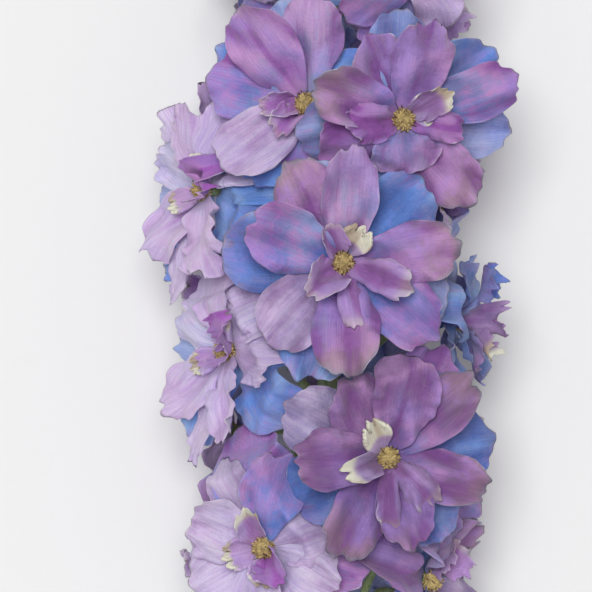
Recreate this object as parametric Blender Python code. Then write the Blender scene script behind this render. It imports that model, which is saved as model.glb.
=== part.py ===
# A spike of double delphinium flowers, cut and laid down on a surface.
#
# Each bloom has a back whorl of blue sepals, lilac petals in layers over them and a gold eye of stamens.
# The spike lies along +Y with its tip at +Y, its side that is looked at faces +Z, and the surface is z = 0.
# Lengths are in millimetres and angles in degrees up to the point where a mesh is made, in metres.

import math
import random

import bmesh
import bpy
from mathutils import Vector
from mathutils.bvhtree import BVHTree

METRE = 0.001

# The stem: heights are measured along it, from its cut end.
SPIKE_LENGTH = 346.0
STEM_ABOVE_SURFACE = 40.0
CUT_END_RADIUS = 4.6
TIP_RADIUS = 1.1
LEAN_START = 190.0
TIP_LEAN = 9.0
TIP_RISE = 6.0
# Half of the spike's length and its sideways middle, which put the origin under the middle of its box.
ORIGIN_ALONG = 173.0
ORIGIN_ACROSS = -1.0

# A bloom's parts along its own axis, outward from its middle.
PEDICEL_END = -4.3
SEPAL_CORE = (-4.0, -0.6)
PETAL_CORE = (-0.3, 2.4)
EYE_SPAN = (2.7, 6.2)
SEPAL_CORE_RADIUS = 3.0
PETAL_CORE_RADIUS = 3.3
EYE_RADIUS = 2.0
STAMEN_REACH = 3.1
STAMEN_COUNT = 7
PEDICEL_RADIUS = 1.1
PEDICEL_DROP = 15.0

# How the layers start and bend: start along the axis, start from the axis, rise at the claw, rise at the tip,
# cupping, their order from the back of the bloom, and how much higher every second one starts.
LAYERS = {
    "sepal": (-2.8, 1.9, 9.0, -3.0, 0.08, 0.0, 1.1),
    "petal": (0.4, 2.1, 23.0, 5.0, 0.12, 2.0, 1.1),
    "inner": (1.2, 2.3, 60.0, 22.0, 0.34, 4.0, 0.3),
    "curl": (1.2, 2.3, 62.0, -26.0, 0.20, 4.0, 0.3),
    "stub": (1.2, 2.4, 60.0, 54.0, 0.45, 4.0, 0.0),
}
UPPER_RISE = 6.0
BLADE_THICKNESS = 0.9
KEEL_DEPTH = 0.65
BLADE_STATIONS = (0.0, 0.34, 0.64, 0.88)
PLAIN_STATIONS = (0.0, 0.42, 0.82)
BLADE_TIP = ((0.985, -0.9), (0.94, 0.0), (0.985, 0.9))
PLAIN_TIP = ((0.985, -0.85), (0.985, 0.85))
TESTED_STATIONS = (0.34, 0.42, 0.53, 0.64, 0.73, 0.82, 0.88, 0.94, 0.985)
EDGE_WAVE = 0.05

# How neighbouring blooms keep clear: the over one rides up and the under one tucks down at a slanting plane.
PLANE_SLANT = 70.0
CLEARANCE = 0.65
LAYER_GAP = 1.1
TOP_ORDER = 3.0
# Past this distance from a bloom's axis its planes give way, by so much for each millimetre.
FULL_PLANE = 31.0
PLANE_FADE = 1.6
NEIGHBOUR_REACH = 74.0
LEAST_SLOPE = 0.3
LARGEST_BEND = 19.0
EYE_KEEP_CLEAR = 4.6
STEM_KEEP_CLEAR = 12.0
SHORTEN_STEP = 0.94
SHORTEN_LEAST = 0.40
# Points nearer than this after a union are one.
MERGE = 0.02

# Petals of the blooms that show: angle from the bloom's right towards the spike's tip, length, width.
MIDDLE_SEPALS = ((42, 32, 22), (-27, 31, 21), (172, 33, 22), (247, 34, 24), (105, 29, 20))
MIDDLE_PETALS = (
    (85, 33, 16, "petal"), (122, 32, 18, "petal"), (160, 30, 19, "petal"), (8, 33, 17, "petal"),
    (-35, 33, 19, "petal"), (-87, 33, 19, "petal"), (223, 31, 19, "petal"), (-21, 23, 11, "curl"),
    (-78, 20, 7, "curl"), (216, 18, 10, "inner"), (117, 13, 7, "inner"), (62, 9, 5, "stub"),
)
UPPER_RIGHT_SEPALS = ((41, 33, 18), (-8, 31, 17), (97, 30, 17), (185, 29, 18), (260, 28, 18))
UPPER_RIGHT_PETALS = (
    (118, 25, 17, "petal"), (78, 28, 17, "petal"), (19, 34, 15, "petal"), (-52, 30, 16, "petal"),
    (-88, 24, 19, "petal"), (160, 30, 16, "petal"), (200, 29, 15, "petal"), (187, 19, 12, "curl"),
    (-12, 18, 10, "curl"), (35, 16, 8, "inner"), (25, 8, 5, "stub"),
)
UPPER_LEFT_SEPALS = ((158, 31, 23), (100, 30, 20), (230, 28, 20), (285, 26, 18), (30, 24, 18))
UPPER_LEFT_PETALS = (
    (160, 28, 21, "petal"), (122, 32, 19, "petal"), (82, 31, 17, "petal"), (222, 29, 19, "petal"),
    (265, 22, 15, "petal"), (-50, 20, 14, "petal"), (180, 13, 8, "inner"), (230, 13, 8, "inner"),
    (-20, 12, 8, "inner"),
)
LOWER_SEPALS = ((116, 29, 19), (12, 31, 22), (207, 29, 21), (62, 34, 19), (-60, 27, 20), (154, 33, 20))
LOWER_PETALS = (
    (121, 25, 19, "petal"), (76, 30, 19, "petal"), (40, 33, 15, "petal"), (-20, 29, 15, "petal"),
    (-75, 26, 16, "petal"), (242, 32, 17, "petal"), (180, 29, 17, "petal"), (-45, 20, 12, "curl"),
    (-95, 23, 7, "curl"), (196, 19, 8, "inner"), (125, 10, 5, "stub"),
)
PALE_SEPALS = ((98, 34, 21), (50, 33, 20), (-10, 29, 18), (-70, 27, 18), (200, 23, 18))
PALE_PETALS = (
    (158, 21, 19, "petal"), (207, 22, 19, "petal"), (118, 27, 13, "petal"), (78, 33, 16, "petal"),
    (12, 20, 17, "petal"), (-32, 24, 17, "petal"), (-95, 27, 17, "petal"), (108, 14, 7, "inner"),
    (-45, 14, 9, "inner"), (190, 9, 6, "stub"), (280, 9, 6, "stub"),
)
SIDE_SEPALS = ((176, 26, 18), (118, 27, 18), (240, 29, 18), (-50, 29, 20), (18, 28, 20))
SIDE_PETALS = (
    (89, 28, 16, "petal"), (50, 33, 17, "petal"), (228, 25, 17, "petal"), (256, 34, 9, "petal"),
    (-64, 28, 16, "petal"), (-10, 32, 16, "petal"), (145, 21, 15, "petal"), (40, 18, 8, "inner"),
    (-10, 12, 8, "inner"), (60, 10, 5, "stub"), (210, 9, 5, "stub"),
)
RIGHT_SEPALS = ((5, 28, 20), (72, 18, 17), (140, 24, 19), (215, 24, 19), (285, 17, 17))
RIGHT_PETALS = (
    (35, 26, 18, "petal"), (100, 17, 16, "petal"), (170, 27, 18, "petal"), (245, 16, 16, "petal"),
    (320, 24, 18, "petal"), (110, 20, 11, "inner"), (182, 21, 11, "inner"), (250, 15, 9, "inner"),
)
BACK_SEPALS = ((20, 29, 20), (110, 30, 20), (197, 28, 21), (291, 30, 20))
BACK_PETALS = ((62, 29, 19, "petal"), (150, 28, 19, "petal"), (246, 29, 18, "petal"), (334, 28, 19, "petal"))

# A typical bloom: five sepals, petals between them and inner petals, all a little uneven.
TYPICAL_SEPAL_COUNT = 5
TYPICAL_PETAL_COUNT = 5
TYPICAL_INNER_COUNT = 1
TYPICAL_SEPAL = (30.0, 21.0)
TYPICAL_PETAL = (29.0, 19.0)
TYPICAL_INNER = (16.0, 10.0)
UNEVEN_ANGLE = 7.0
UNEVEN_LENGTH = 0.08

# The blooms, the uppermost-lying first: each lies over those after it where they meet.
# Height along the stem, side (0 up, 90 right), reach from the stem, side that it faces, lift towards the tip,
# size and the petals, where they are of its own kind.
BLOOMS = (
    ("bloom_01", 180.6, 5.0, 40.0, 3.0, 0.0, 1.0, (MIDDLE_SEPALS, MIDDLE_PETALS)),
    ("bloom_02", 222.0, 29.0, 42.0, 13.0, 0.0, 1.0, (UPPER_RIGHT_SEPALS, UPPER_RIGHT_PETALS)),
    ("bloom_03", 124.3, 24.0, 40.0, 12.0, 0.0, 1.0, (LOWER_SEPALS, LOWER_PETALS)),
    ("bloom_04", 226.7, -13.0, 31.0, -16.0, 0.0, 1.0, (UPPER_LEFT_SEPALS, UPPER_LEFT_PETALS)),
    ("bloom_05", 202.3, -61.0, 40.5, -52.0, 0.0, 1.0, (SIDE_SEPALS, SIDE_PETALS)),
    ("bloom_06", 155.3, -46.0, 40.0, -50.0, 0.0, 1.0, (SIDE_SEPALS, SIDE_PETALS)),
    ("bloom_07", 98.2, -28.0, 40.0, -16.0, -4.0, 1.0, (PALE_SEPALS, PALE_PETALS)),
    ("bloom_08", 269.0, 29.0, 36.0, 24.0, 10.0, 0.80, None),
    ("bloom_09", 88.0, 54.0, 34.5, 59.0, -10.0, 0.86, None),
    ("bloom_10", 163.5, 77.0, 38.0, 80.0, 6.0, 0.95, (RIGHT_SEPALS, RIGHT_PETALS)),
    ("bloom_11", 122.0, 94.0, 34.0, 94.0, 0.0, 0.95, None),
    ("bloom_12", 200.0, 98.0, 33.0, 98.0, 0.0, 0.92, None),
    ("bloom_13", 245.0, 92.0, 29.0, 92.0, 8.0, 0.84, None),
    ("bloom_14", 170.0, -118.0, 33.0, -114.0, 0.0, 0.94, None),
    ("bloom_15", 130.0, -112.0, 30.0, -110.0, 0.0, 0.92, None),
    ("bloom_16", 212.0, -130.0, 33.0, -126.0, 4.0, 0.92, (BACK_SEPALS, BACK_PETALS)),
    ("bloom_17", 87.0, -104.0, 31.0, -101.0, -12.0, 0.90, None),
    ("bloom_18", 178.0, 152.0, 33.0, 154.0, 0.0, 0.94, None),
    ("bloom_19", 141.0, 147.0, 33.0, 150.0, 0.0, 0.92, None),
    ("bloom_20", 222.0, 154.0, 32.0, 156.0, 4.0, 0.90, None),
    ("bloom_21", 101.0, 152.0, 33.0, 155.0, -6.0, 0.92, None),
    ("bloom_22", 78.0, 112.0, 32.0, 108.0, -14.0, 0.86, None),
    ("bloom_23", 252.0, -165.0, 29.0, -163.0, 8.0, 0.78, None),
    ("bloom_24", 275.0, -57.0, 27.0, -58.0, 14.0, 0.72, None),
    ("bloom_25", 283.0, 122.0, 27.0, 120.0, 16.0, 0.74, None),
    ("bloom_26", 297.0, -8.0, 25.0, -4.0, 24.0, 0.66, None),
)
BLOOMS_WITH_OWN_EYE = 7

# Buds up to the tip: the first and last one's height, length and reach from the stem.
BUD_COUNT = 12
BUD_HEIGHTS = (309.0, 343.0)
BUD_LENGTHS = (12.0, 5.0)
BUD_REACHES = (17.0, 3.4)
BUD_TURN = 137.5
BUD_FULLNESS = 0.30
BUD_DROP = 9.0
BRACT_LENGTH = 13.0
BRACT_WIDTH = 3.2
# Between these heights the blooms hide the bracts.
BRACTS_HIDDEN = (105.0, 262.0)

GREEN = (0.17, 0.29, 0.09)
BLUE = (0.16, 0.28, 0.68)
LILAC = (0.44, 0.23, 0.56)
GOLD = (0.55, 0.38, 0.08)


def clear_scene():
    for thing in list(bpy.data.objects):
        bpy.data.objects.remove(thing, do_unlink=True)


def material(name, colour, roughness):
    made = bpy.data.materials.new(name)
    made.use_nodes = True
    shader = made.node_tree.nodes["Principled BSDF"]
    shader.inputs["Base Color"].default_value = (*colour, 1.0)
    shader.inputs["Roughness"].default_value = roughness
    shader.inputs["Metallic"].default_value = 0.0
    return made


def stem_point(height):
    """The stem's middle at a height along it: straight, then leaning and rising a little towards the tip."""
    past = max(0.0, height - LEAN_START) / (SPIKE_LENGTH - LEAN_START)
    return Vector((TIP_LEAN * past ** 2 - ORIGIN_ACROSS, height - ORIGIN_ALONG,
                   STEM_ABOVE_SURFACE + TIP_RISE * past ** 2))


def stem_radius(height):
    return CUT_END_RADIUS + (TIP_RADIUS - CUT_END_RADIUS) * (height / SPIKE_LENGTH) ** 1.2


def outward(side, lift=0.0):
    """The direction that leaves the stem at a side, lifted towards the tip."""
    turn, up = math.radians(side), math.radians(lift)
    return Vector((math.sin(turn) * math.cos(up), math.sin(up), math.cos(turn) * math.cos(up)))


class Bloom:
    """A bloom's place: its middle, the way it faces and the two directions across it."""

    def __init__(self, name, height, side, reach, faces, lift, size):
        self.name = name
        self.height = height
        self.side = side
        self.size = size
        self.middle = stem_point(height) + outward(side) * reach
        self.axis = outward(faces, lift)
        along = Vector((0.0, 1.0, 0.0))
        self.up = (along - self.axis * along.dot(self.axis)).normalized()
        self.right = self.up.cross(self.axis).normalized()
        self.limits = []
        self.keep_clear = []

    def place(self, local):
        return self.middle + self.right * local.x + self.up * local.y + self.axis * local.z

    def spread_to(self, placed):
        """How far a point is from the bloom's axis."""
        away = placed - self.middle
        return (away - self.axis * away.dot(self.axis)).length


def typical_petals(seed):
    """Sepals and petals of a bloom that has no list of its own."""
    draw = random.Random(seed)
    first = draw.uniform(0.0, 72.0)

    def uneven(angle, size):
        scale = 1.0 + draw.uniform(-UNEVEN_LENGTH, UNEVEN_LENGTH)
        return angle + draw.uniform(-UNEVEN_ANGLE, UNEVEN_ANGLE), size[0] * scale, size[1] * scale

    step = 360.0 / TYPICAL_SEPAL_COUNT
    sepals = [uneven(first + step * k, TYPICAL_SEPAL) for k in range(TYPICAL_SEPAL_COUNT)]
    step = 360.0 / TYPICAL_PETAL_COUNT
    petals = [(*uneven(first + step * (k + 0.5), TYPICAL_PETAL), "petal") for k in range(TYPICAL_PETAL_COUNT)]
    step = 360.0 / TYPICAL_INNER_COUNT
    petals += [(*uneven(first + 20.0 + step * k, TYPICAL_INNER), "inner") for k in range(TYPICAL_INNER_COUNT)]
    return sepals, petals


def half_width(t):
    """Half of a petal's width along it, as a share of its full half width: a claw, then broad and round."""
    return 0.11 * (1.0 - t) + 1.42 * t ** 0.95 * math.sqrt(max(0.0, 1.0 - t ** 4.2))


class Petal:
    """A petal's middle surface in its bloom's own frame: x right, y towards the tip, z outward."""

    def __init__(self, angle, length, width, layer, size, upper):
        start, self.claw, rise, tip_rise, self.cup, order, upper_start = LAYERS[layer]
        self.start = start + upper_start * upper
        self.order = order + upper
        self.angle = math.radians(angle)
        self.length = length * size
        self.width = width * size
        self.rise = math.radians(rise + UPPER_RISE * upper)
        self.bend = math.radians(tip_rise - rise)
        self.wave = EDGE_WAVE * self.width * (1.0 - 2.0 * upper)
        self.reach = 1.0

    def at(self, t, v):
        """The point a share t along the petal and v across it, -1 to 1."""
        length = self.length * self.reach
        lean = self.rise + self.bend * t
        out = self.claw + length * (math.sin(lean) - math.sin(self.rise)) / self.bend
        high = self.start + length * (math.cos(self.rise) - math.cos(lean)) / self.bend
        side = 0.5 * self.width * half_width(t) * v
        lift = self.cup * abs(side) * abs(v) + self.wave * v * math.sin(9.0 * t)
        out -= lift * math.sin(lean)
        high += lift * math.cos(lean)
        return Vector((out * math.cos(self.angle) - side * math.sin(self.angle),
                       out * math.sin(self.angle) + side * math.cos(self.angle), high))


def set_limits(blooms):
    """Between two blooms that meet, a slanting plane: the first lies over it and the second under it."""
    for k, over in enumerate(blooms):
        for under in blooms[k + 1:]:
            apart = over.middle - under.middle
            alike = over.axis.dot(under.axis)
            if apart.length > NEIGHBOUR_REACH or alike < -0.3:
                continue
            slant = math.radians(PLANE_SLANT)
            facing = (over.axis + under.axis).normalized()
            across = (apart - facing * apart.dot(facing)).normalized()
            normal = across * math.cos(slant) + facing * math.sin(slant)
            point = (over.middle + under.middle) * 0.5
            over.limits.append((point, normal, 1.0, under))
            under.limits.append((point, normal, -1.0, over))
            over.keep_clear.append(under)
            under.keep_clear.append(over)
    for bloom in blooms:
        bloom.limits.append((Vector((0.0, 0.0, 0.0)), Vector((0.0, 0.0, 1.0)), 1.0, None))


def kept_clear(bloom, petal, local):
    """The point moved along the bloom's axis to its own side of each plane, or None where it can't be."""
    base = bloom.place(Vector((local.x, local.y, 0.0)))
    placed = bloom.place(local)
    lowest, highest = -1e9, 1e9
    for point, normal, sign, other in bloom.limits:
        slope = bloom.axis.dot(normal) * sign
        room = (base - point).dot(normal) * sign
        margin = 0.0
        if other:
            margin = CLEARANCE - PLANE_FADE * max(0.0, other.spread_to(placed) - FULL_PLANE * other.size)
        layer = min(petal.order, TOP_ORDER)
        margin += LAYER_GAP * (layer if slope > 0.0 else TOP_ORDER - layer)
        if abs(slope) < LEAST_SLOPE:
            if room + local.z * slope < margin:
                return None
            continue
        bound = (margin - room) / slope
        if slope > 0.0:
            lowest = max(lowest, bound)
        else:
            highest = min(highest, bound)
    if lowest > highest:
        return None
    height = min(max(local.z, lowest), highest)
    if abs(height - local.z) > LARGEST_BEND:
        return None
    return Vector((local.x, local.y, height))


def is_clear(bloom, placed):
    """True where a point is clear of the stem and of its neighbours' eyes and pedicels."""
    along = placed.y + ORIGIN_ALONG
    if (placed - stem_point(along)).length < STEM_KEEP_CLEAR:
        return False
    for other in bloom.keep_clear:
        out = (placed - other.middle).dot(other.axis)
        if -24.0 < out < EYE_SPAN[1] + 1.0 and other.spread_to(placed) < EYE_KEEP_CLEAR:
            return False
    return True


def fit_petal(bloom, petal):
    """Shortens a petal until each point of it can be kept clear; False where it can't."""
    while petal.reach > SHORTEN_LEAST:
        fits = True
        for t in TESTED_STATIONS:
            for v in (-1.0, 0.0, 1.0):
                local = kept_clear(bloom, petal, petal.at(t, v))
                if local is None or not is_clear(bloom, bloom.place(local)):
                    fits = False
        if fits:
            return True
        petal.reach *= SHORTEN_STEP
    return False


def blade(name, bloom, petal, fine):
    """A petal as a closed blade with a sharp rim: lens-shaped across if fine, else flat with a keel behind."""
    def middle(t, v):
        local = petal.at(t, v)
        if t > 0.2:
            local = kept_clear(bloom, petal, local) or local
        placed = bloom.place(local)
        placed.z = max(placed.z, 0.0)
        return placed

    half = 0.5 * BLADE_THICKNESS
    rows = [[middle(t, v) for v in (-1.0, 0.0, 1.0)] for t in (BLADE_STATIONS if fine else PLAIN_STATIONS)]
    ribs = [row[1] for row in rows] + [middle(0.98, 0.0)]
    mesh = bmesh.new()
    rings = []
    for k, (left, rib, right) in enumerate(rows):
        front = (ribs[k + 1] - ribs[max(k - 1, 0)]).cross(right - left).normalized()
        if fine:
            ring = [left, rib - front * half, right, rib + front * half]
        else:
            chord = (left + right) * 0.5
            ring = [left, chord - front * max(KEEL_DEPTH, (chord - rib).dot(front) + half), right]
        rings.append([mesh.verts.new(point * METRE) for point in ring])
    tip = [mesh.verts.new(middle(t, v) * METRE) for t, v in (BLADE_TIP if fine else PLAIN_TIP)]
    mesh.faces.new(rings[0][::-1])

    def add_quad(a, b, c, d, across_ac):
        """A four-cornered face as two triangles, split from a to c or from b to d."""
        for corners in ((a, b, c), (a, c, d)) if across_ac else ((a, b, d), (b, c, d)):
            mesh.faces.new(corners)

    def ridge_ac(a, b, c, d):
        """True where the split from a to c stands further out than the one from b to d."""
        return (a.co + c.co - b.co - d.co).dot(bloom.axis) > 0.0

    for near, far in zip(rings, rings[1:]):
        add_quad(near[0], near[1], far[1], far[0], False)
        add_quad(near[1], near[2], far[2], far[1], True)
        if fine:
            add_quad(near[2], near[3], far[3], far[2], False)
            add_quad(near[3], near[0], far[0], far[3], True)
        else:
            quad = (near[2], near[0], far[0], far[2])
            add_quad(*quad, ridge_ac(*quad))
    last = rings[-1]
    rim = [last[0], *tip, last[2]]
    for first, second in zip(rim, rim[1:]):
        mesh.faces.new((first, last[1], second))
        if fine:
            mesh.faces.new((second, last[3], first))
    if not fine:
        add_quad(*rim, ridge_ac(*rim))
    return as_object(name, mesh)


def tree_of(thing):
    """A piece's faces in a tree that finds those that cross another's."""
    mesh = bmesh.new()
    mesh.from_mesh(thing.data)
    tree = BVHTree.FromBMesh(mesh)
    mesh.free()
    return tree


def fitted_blade(bloom, petal, fine, built):
    """The petal's blade, shortened until it crosses nothing built so far; None where there is no room."""
    while fit_petal(bloom, petal):
        made = blade("petal", bloom, petal, fine)
        tree = tree_of(made)
        if not any(tree.overlap(other) for other in built):
            return made
        bpy.data.objects.remove(made, do_unlink=True)
        petal.reach *= SHORTEN_STEP
    return None


def as_object(name, mesh):
    """A scene object made of the mesh, which is used up."""
    data = bpy.data.meshes.new(name)
    mesh.to_mesh(data)
    mesh.free()
    made = bpy.data.objects.new(name, data)
    bpy.context.scene.collection.objects.link(made)
    return made


def turned(name, middle, axis, profile, sides):
    """A solid turned about an axis: profile points are distance along the axis and from it."""
    across = axis.orthogonal().normalized()
    other = axis.cross(across).normalized()
    mesh = bmesh.new()
    rings = []
    for along, radius in profile:
        centre = middle + axis * along
        ring = []
        for k in range(sides):
            turn = 2.0 * math.pi * k / sides
            point = centre + (across * math.cos(turn) + other * math.sin(turn)) * radius
            ring.append(mesh.verts.new(point * METRE))
        rings.append(ring)
    close_tube(mesh, rings)
    return as_object(name, mesh)


def close_tube(mesh, rings):
    """Faces between rings of vertices, and a cap on each end."""
    for near, far in zip(rings, rings[1:]):
        for k in range(len(near)):
            n = (k + 1) % len(near)
            mesh.faces.new((near[k], near[n], far[n], far[k]))
    mesh.faces.new(rings[0][::-1])
    mesh.faces.new(rings[-1])
    bmesh.ops.triangulate(mesh, faces=mesh.faces)


def tube(name, points, radii, sides):
    """A round rod through points, its radius given at each."""
    mesh = bmesh.new()
    rings = []
    across = (points[1] - points[0]).orthogonal()
    for k, point in enumerate(points):
        ahead = (points[min(k + 1, len(points) - 1)] - points[max(k - 1, 0)]).normalized()
        across = (across - ahead * across.dot(ahead)).normalized()
        other = ahead.cross(across)
        ring = []
        for s in range(sides):
            turn = 2.0 * math.pi * s / sides
            side = across * math.cos(turn) + other * math.sin(turn)
            ring.append(mesh.verts.new((point + side * radii[k]) * METRE))
        rings.append(ring)
    close_tube(mesh, rings)
    return as_object(name, mesh)


def merged(data, distance):
    """Merges points that a union left nearer than a distance, unless the mesh would no longer be closed."""
    mesh = bmesh.new()
    mesh.from_mesh(data)
    bmesh.ops.triangulate(mesh, faces=mesh.faces)
    bmesh.ops.remove_doubles(mesh, verts=mesh.verts, dist=distance * METRE)
    bmesh.ops.dissolve_degenerate(mesh, edges=mesh.edges, dist=distance * METRE)
    bmesh.ops.triangulate(mesh, faces=mesh.faces)
    closed = all(edge.is_manifold for edge in mesh.edges)
    if closed:
        mesh.to_mesh(data)
    mesh.free()
    return closed


def joined(body, repeats, name, finish):
    """One body of a base and the repeats that grow from it."""
    group = bpy.data.collections.new(name + "_repeats")
    bpy.context.scene.collection.children.link(group)
    for piece in repeats:
        group.objects.link(piece)
        bpy.context.scene.collection.objects.unlink(piece)
    union = body.modifiers.new("union", "BOOLEAN")
    union.operation = "UNION"
    union.operand_type = "COLLECTION"
    union.collection = group
    for solver in ("EXACT", "MANIFOLD"):
        union.solver = solver
        bpy.context.view_layer.update()
        evaluated = body.evaluated_get(bpy.context.evaluated_depsgraph_get())
        data = bpy.data.meshes.new_from_object(evaluated)
        if merged(data, MERGE) or merged(data, 0.3 * MERGE):
            break
    body.modifiers.remove(union)
    body.data = data
    for piece in repeats:
        bpy.data.objects.remove(piece, do_unlink=True)
    bpy.data.collections.remove(group)
    body.name = name
    data.name = name
    data.materials.clear()
    data.materials.append(finish)
    return body


def make_eye(bloom):
    """Stamens: a crown of short blunt filaments round a low boss, every second one held higher."""
    size = 0.5 + 0.5 * bloom.size
    start, end = EYE_SPAN
    mesh = bmesh.new()
    foot, crown = [], []
    for k in range(2 * STAMEN_COUNT):
        turn = math.pi * k / STAMEN_COUNT
        out = bloom.right * math.cos(turn) + bloom.up * math.sin(turn)
        head = k % 2
        low = bloom.middle + bloom.axis * start + out * (EYE_RADIUS * size)
        reach = STAMEN_REACH * size * (1.0 if head else 0.62)
        held = end - (0.9 if k % 4 == 1 else 0.2) if head else start + 1.6
        high = bloom.middle + bloom.axis * held + out * reach
        foot.append(mesh.verts.new(low * METRE))
        crown.append(mesh.verts.new(high * METRE))
    middle = mesh.verts.new((bloom.middle + bloom.axis * (end - 1.2)) * METRE)
    mesh.faces.new(foot[::-1])
    for k in range(len(foot)):
        n = (k + 1) % len(foot)
        mesh.faces.new((foot[k], foot[n], crown[n], crown[k]))
        mesh.faces.new((crown[k], crown[n], middle))
    bmesh.ops.triangulate(mesh, faces=mesh.faces)
    return as_object(bloom.name + "_eye", mesh)


def make_core(bloom, angles, span, radius):
    """The small middle that a whorl grows from: a prism with one side for each petal."""
    turns = sorted(math.radians(angle % 360.0) for angle in angles)
    mesh = bmesh.new()
    rings = [[], []]
    for k, turn in enumerate(turns):
        after = turns[(k + 1) % len(turns)] + (2.0 * math.pi if k + 1 == len(turns) else 0.0)
        corner = 0.5 * (turn + after)
        out = bloom.right * math.cos(corner) + bloom.up * math.sin(corner)
        for ring, along in zip(rings, span):
            ring.append(mesh.verts.new((bloom.middle + bloom.axis * along + out * radius) * METRE))
    close_tube(mesh, rings)
    return as_object("core", mesh)


def make_whorl(bloom, rows, core_span, core_radius, fine, built, extras=()):
    """Petals on one core. Every second one round the bloom is an upper one."""
    rows = sorted(rows, key=lambda row: row[0] % 360.0)
    counts = {}
    blades = list(extras)
    for angle, length, width, layer in rows:
        turn = counts.get(layer, 0)
        counts[layer] = turn + 1
        petal = Petal(angle, length, width, layer, bloom.size, turn % 2)
        made = fitted_blade(bloom, petal, fine and layer == "petal", built)
        if made:
            blades.append(made)
    return make_core(bloom, [row[0] for row in rows], core_span, core_radius), blades


def make_bloom(bloom, lists, materials, own_eye, built):
    sepals, petals = lists
    sepals = [(*row, "sepal") for row in sepals]
    extras = []
    if own_eye:
        eye = make_eye(bloom)
        eye.data.materials.append(materials["eye"])
        built.append(tree_of(eye))
    else:
        extras.append(turned("boss", bloom.middle, bloom.axis,
                             ((PETAL_CORE[1] - 0.8, EYE_RADIUS), (EYE_SPAN[1] - 1.0, 0.6 * EYE_RADIUS)), 5))
    core, blades = make_whorl(bloom, sepals, SEPAL_CORE, SEPAL_CORE_RADIUS, own_eye, built)
    built.append(tree_of(joined(core, blades, bloom.name + "_sepals", materials["sepals"])))
    core, blades = make_whorl(bloom, petals, PETAL_CORE, PETAL_CORE_RADIUS, own_eye, built, extras)
    built.append(tree_of(joined(core, blades, bloom.name + "_petals", materials["petals"])))


def pedicel(bloom):
    """The stalk of a bloom: straight in behind it, then bent down to the stem."""
    end = bloom.middle + bloom.axis * PEDICEL_END
    foot_height = bloom.height - PEDICEL_DROP
    foot = stem_point(foot_height)
    out = outward(bloom.side)
    knee = end - bloom.axis * 12.0
    low = foot + out * (stem_radius(foot_height) + 5.0) + Vector((0.0, 3.0, 0.0))
    return tube("pedicel", (foot, low, knee, end), (1.5, 1.3, PEDICEL_RADIUS, PEDICEL_RADIUS + 0.3), 4)


def bract(height, side):
    """A narrow leaf under a pedicel, lying close to the stem."""
    foot = stem_point(height - PEDICEL_DROP - 2.0)
    out = outward(side)
    across = Vector((0.0, 1.0, 0.0)).cross(out).normalized()
    start = foot + out * (stem_radius(height) - 0.6)
    tip = start + out * 5.0 + Vector((0.0, -BRACT_LENGTH, 0.0))
    waist = (start + tip) * 0.5 + out * 1.2
    mesh = bmesh.new()
    base = [mesh.verts.new(p * METRE) for p in (start - across * 1.1, start - out * 0.9, start + across * 1.1,
                                                start + out * 0.5 + Vector((0.0, 0.9, 0.0)))]
    half = 0.5 * BRACT_WIDTH
    broad = [mesh.verts.new(p * METRE) for p in (waist - across * half, waist - out * 0.4,
                                                 waist + across * half, waist + out * 0.4)]
    end = mesh.verts.new(tip * METRE)
    mesh.faces.new(base[::-1])
    for k in range(4):
        n = (k + 1) % 4
        mesh.faces.new((base[k], base[n], broad[n]))
        mesh.faces.new((base[k], broad[n], broad[k]))
        mesh.faces.new((broad[k], broad[n], end))
    return as_object("bract", mesh)


def bud(order):
    """A bud on its stalk; those nearer the tip are smaller and closer to the stem."""
    share = order / (BUD_COUNT - 1.0)

    def between(span):
        return span[0] + (span[1] - span[0]) * share

    height, length, reach = between(BUD_HEIGHTS), between(BUD_LENGTHS), between(BUD_REACHES)
    side = BUD_TURN * order + 60.0
    out = outward(side)
    foot = stem_point(height - BUD_DROP * (1.0 - 0.6 * share))
    middle = stem_point(height) + out * reach
    axis = (out + Vector((0.0, 0.5 + 1.2 * share, 0.0))).normalized()
    radius = length * BUD_FULLNESS
    start = middle - axis * 0.5 * length
    points = [foot, start]
    points += [middle + axis * share * length for share in (-0.15, 0.2, 0.5)]
    return tube("bud", points, (0.9, 0.8, radius, 0.85 * radius, 0.2 * radius), 5)


def make_stem(blooms, finish):
    heights = [SPIKE_LENGTH * k / 11.0 for k in range(12)]
    body = tube("stem", [stem_point(h) for h in heights], [stem_radius(h) for h in heights], 8)
    grown = []
    for bloom in blooms:
        grown.append(pedicel(bloom))
        if not BRACTS_HIDDEN[0] < bloom.height < BRACTS_HIDDEN[1]:
            grown.append(bract(bloom.height, bloom.side))
    grown += [bud(order) for order in range(BUD_COUNT)]
    return joined(body, grown, "stem", finish)


def build():
    clear_scene()
    materials = {
        "sepals": material("blue_sepal", BLUE, 0.62),
        "petals": material("lilac_petal", LILAC, 0.62),
        "eye": material("gold_stamens", GOLD, 0.7),
        "stem": material("green_stem", GREEN, 0.55),
    }
    blooms = [Bloom(*row[:7]) for row in BLOOMS]
    set_limits(blooms)
    built = [tree_of(make_stem(blooms, materials["stem"]))]
    for k, (bloom, row) in enumerate(zip(blooms, BLOOMS)):
        lists = row[7] or typical_petals(bloom.name)
        make_bloom(bloom, lists, materials, k < BLOOMS_WITH_OWN_EYE, built)


build()
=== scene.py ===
import math
import random

import bpy
import numpy as np
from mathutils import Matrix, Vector
from mathutils.bvhtree import BVHTree


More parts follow.
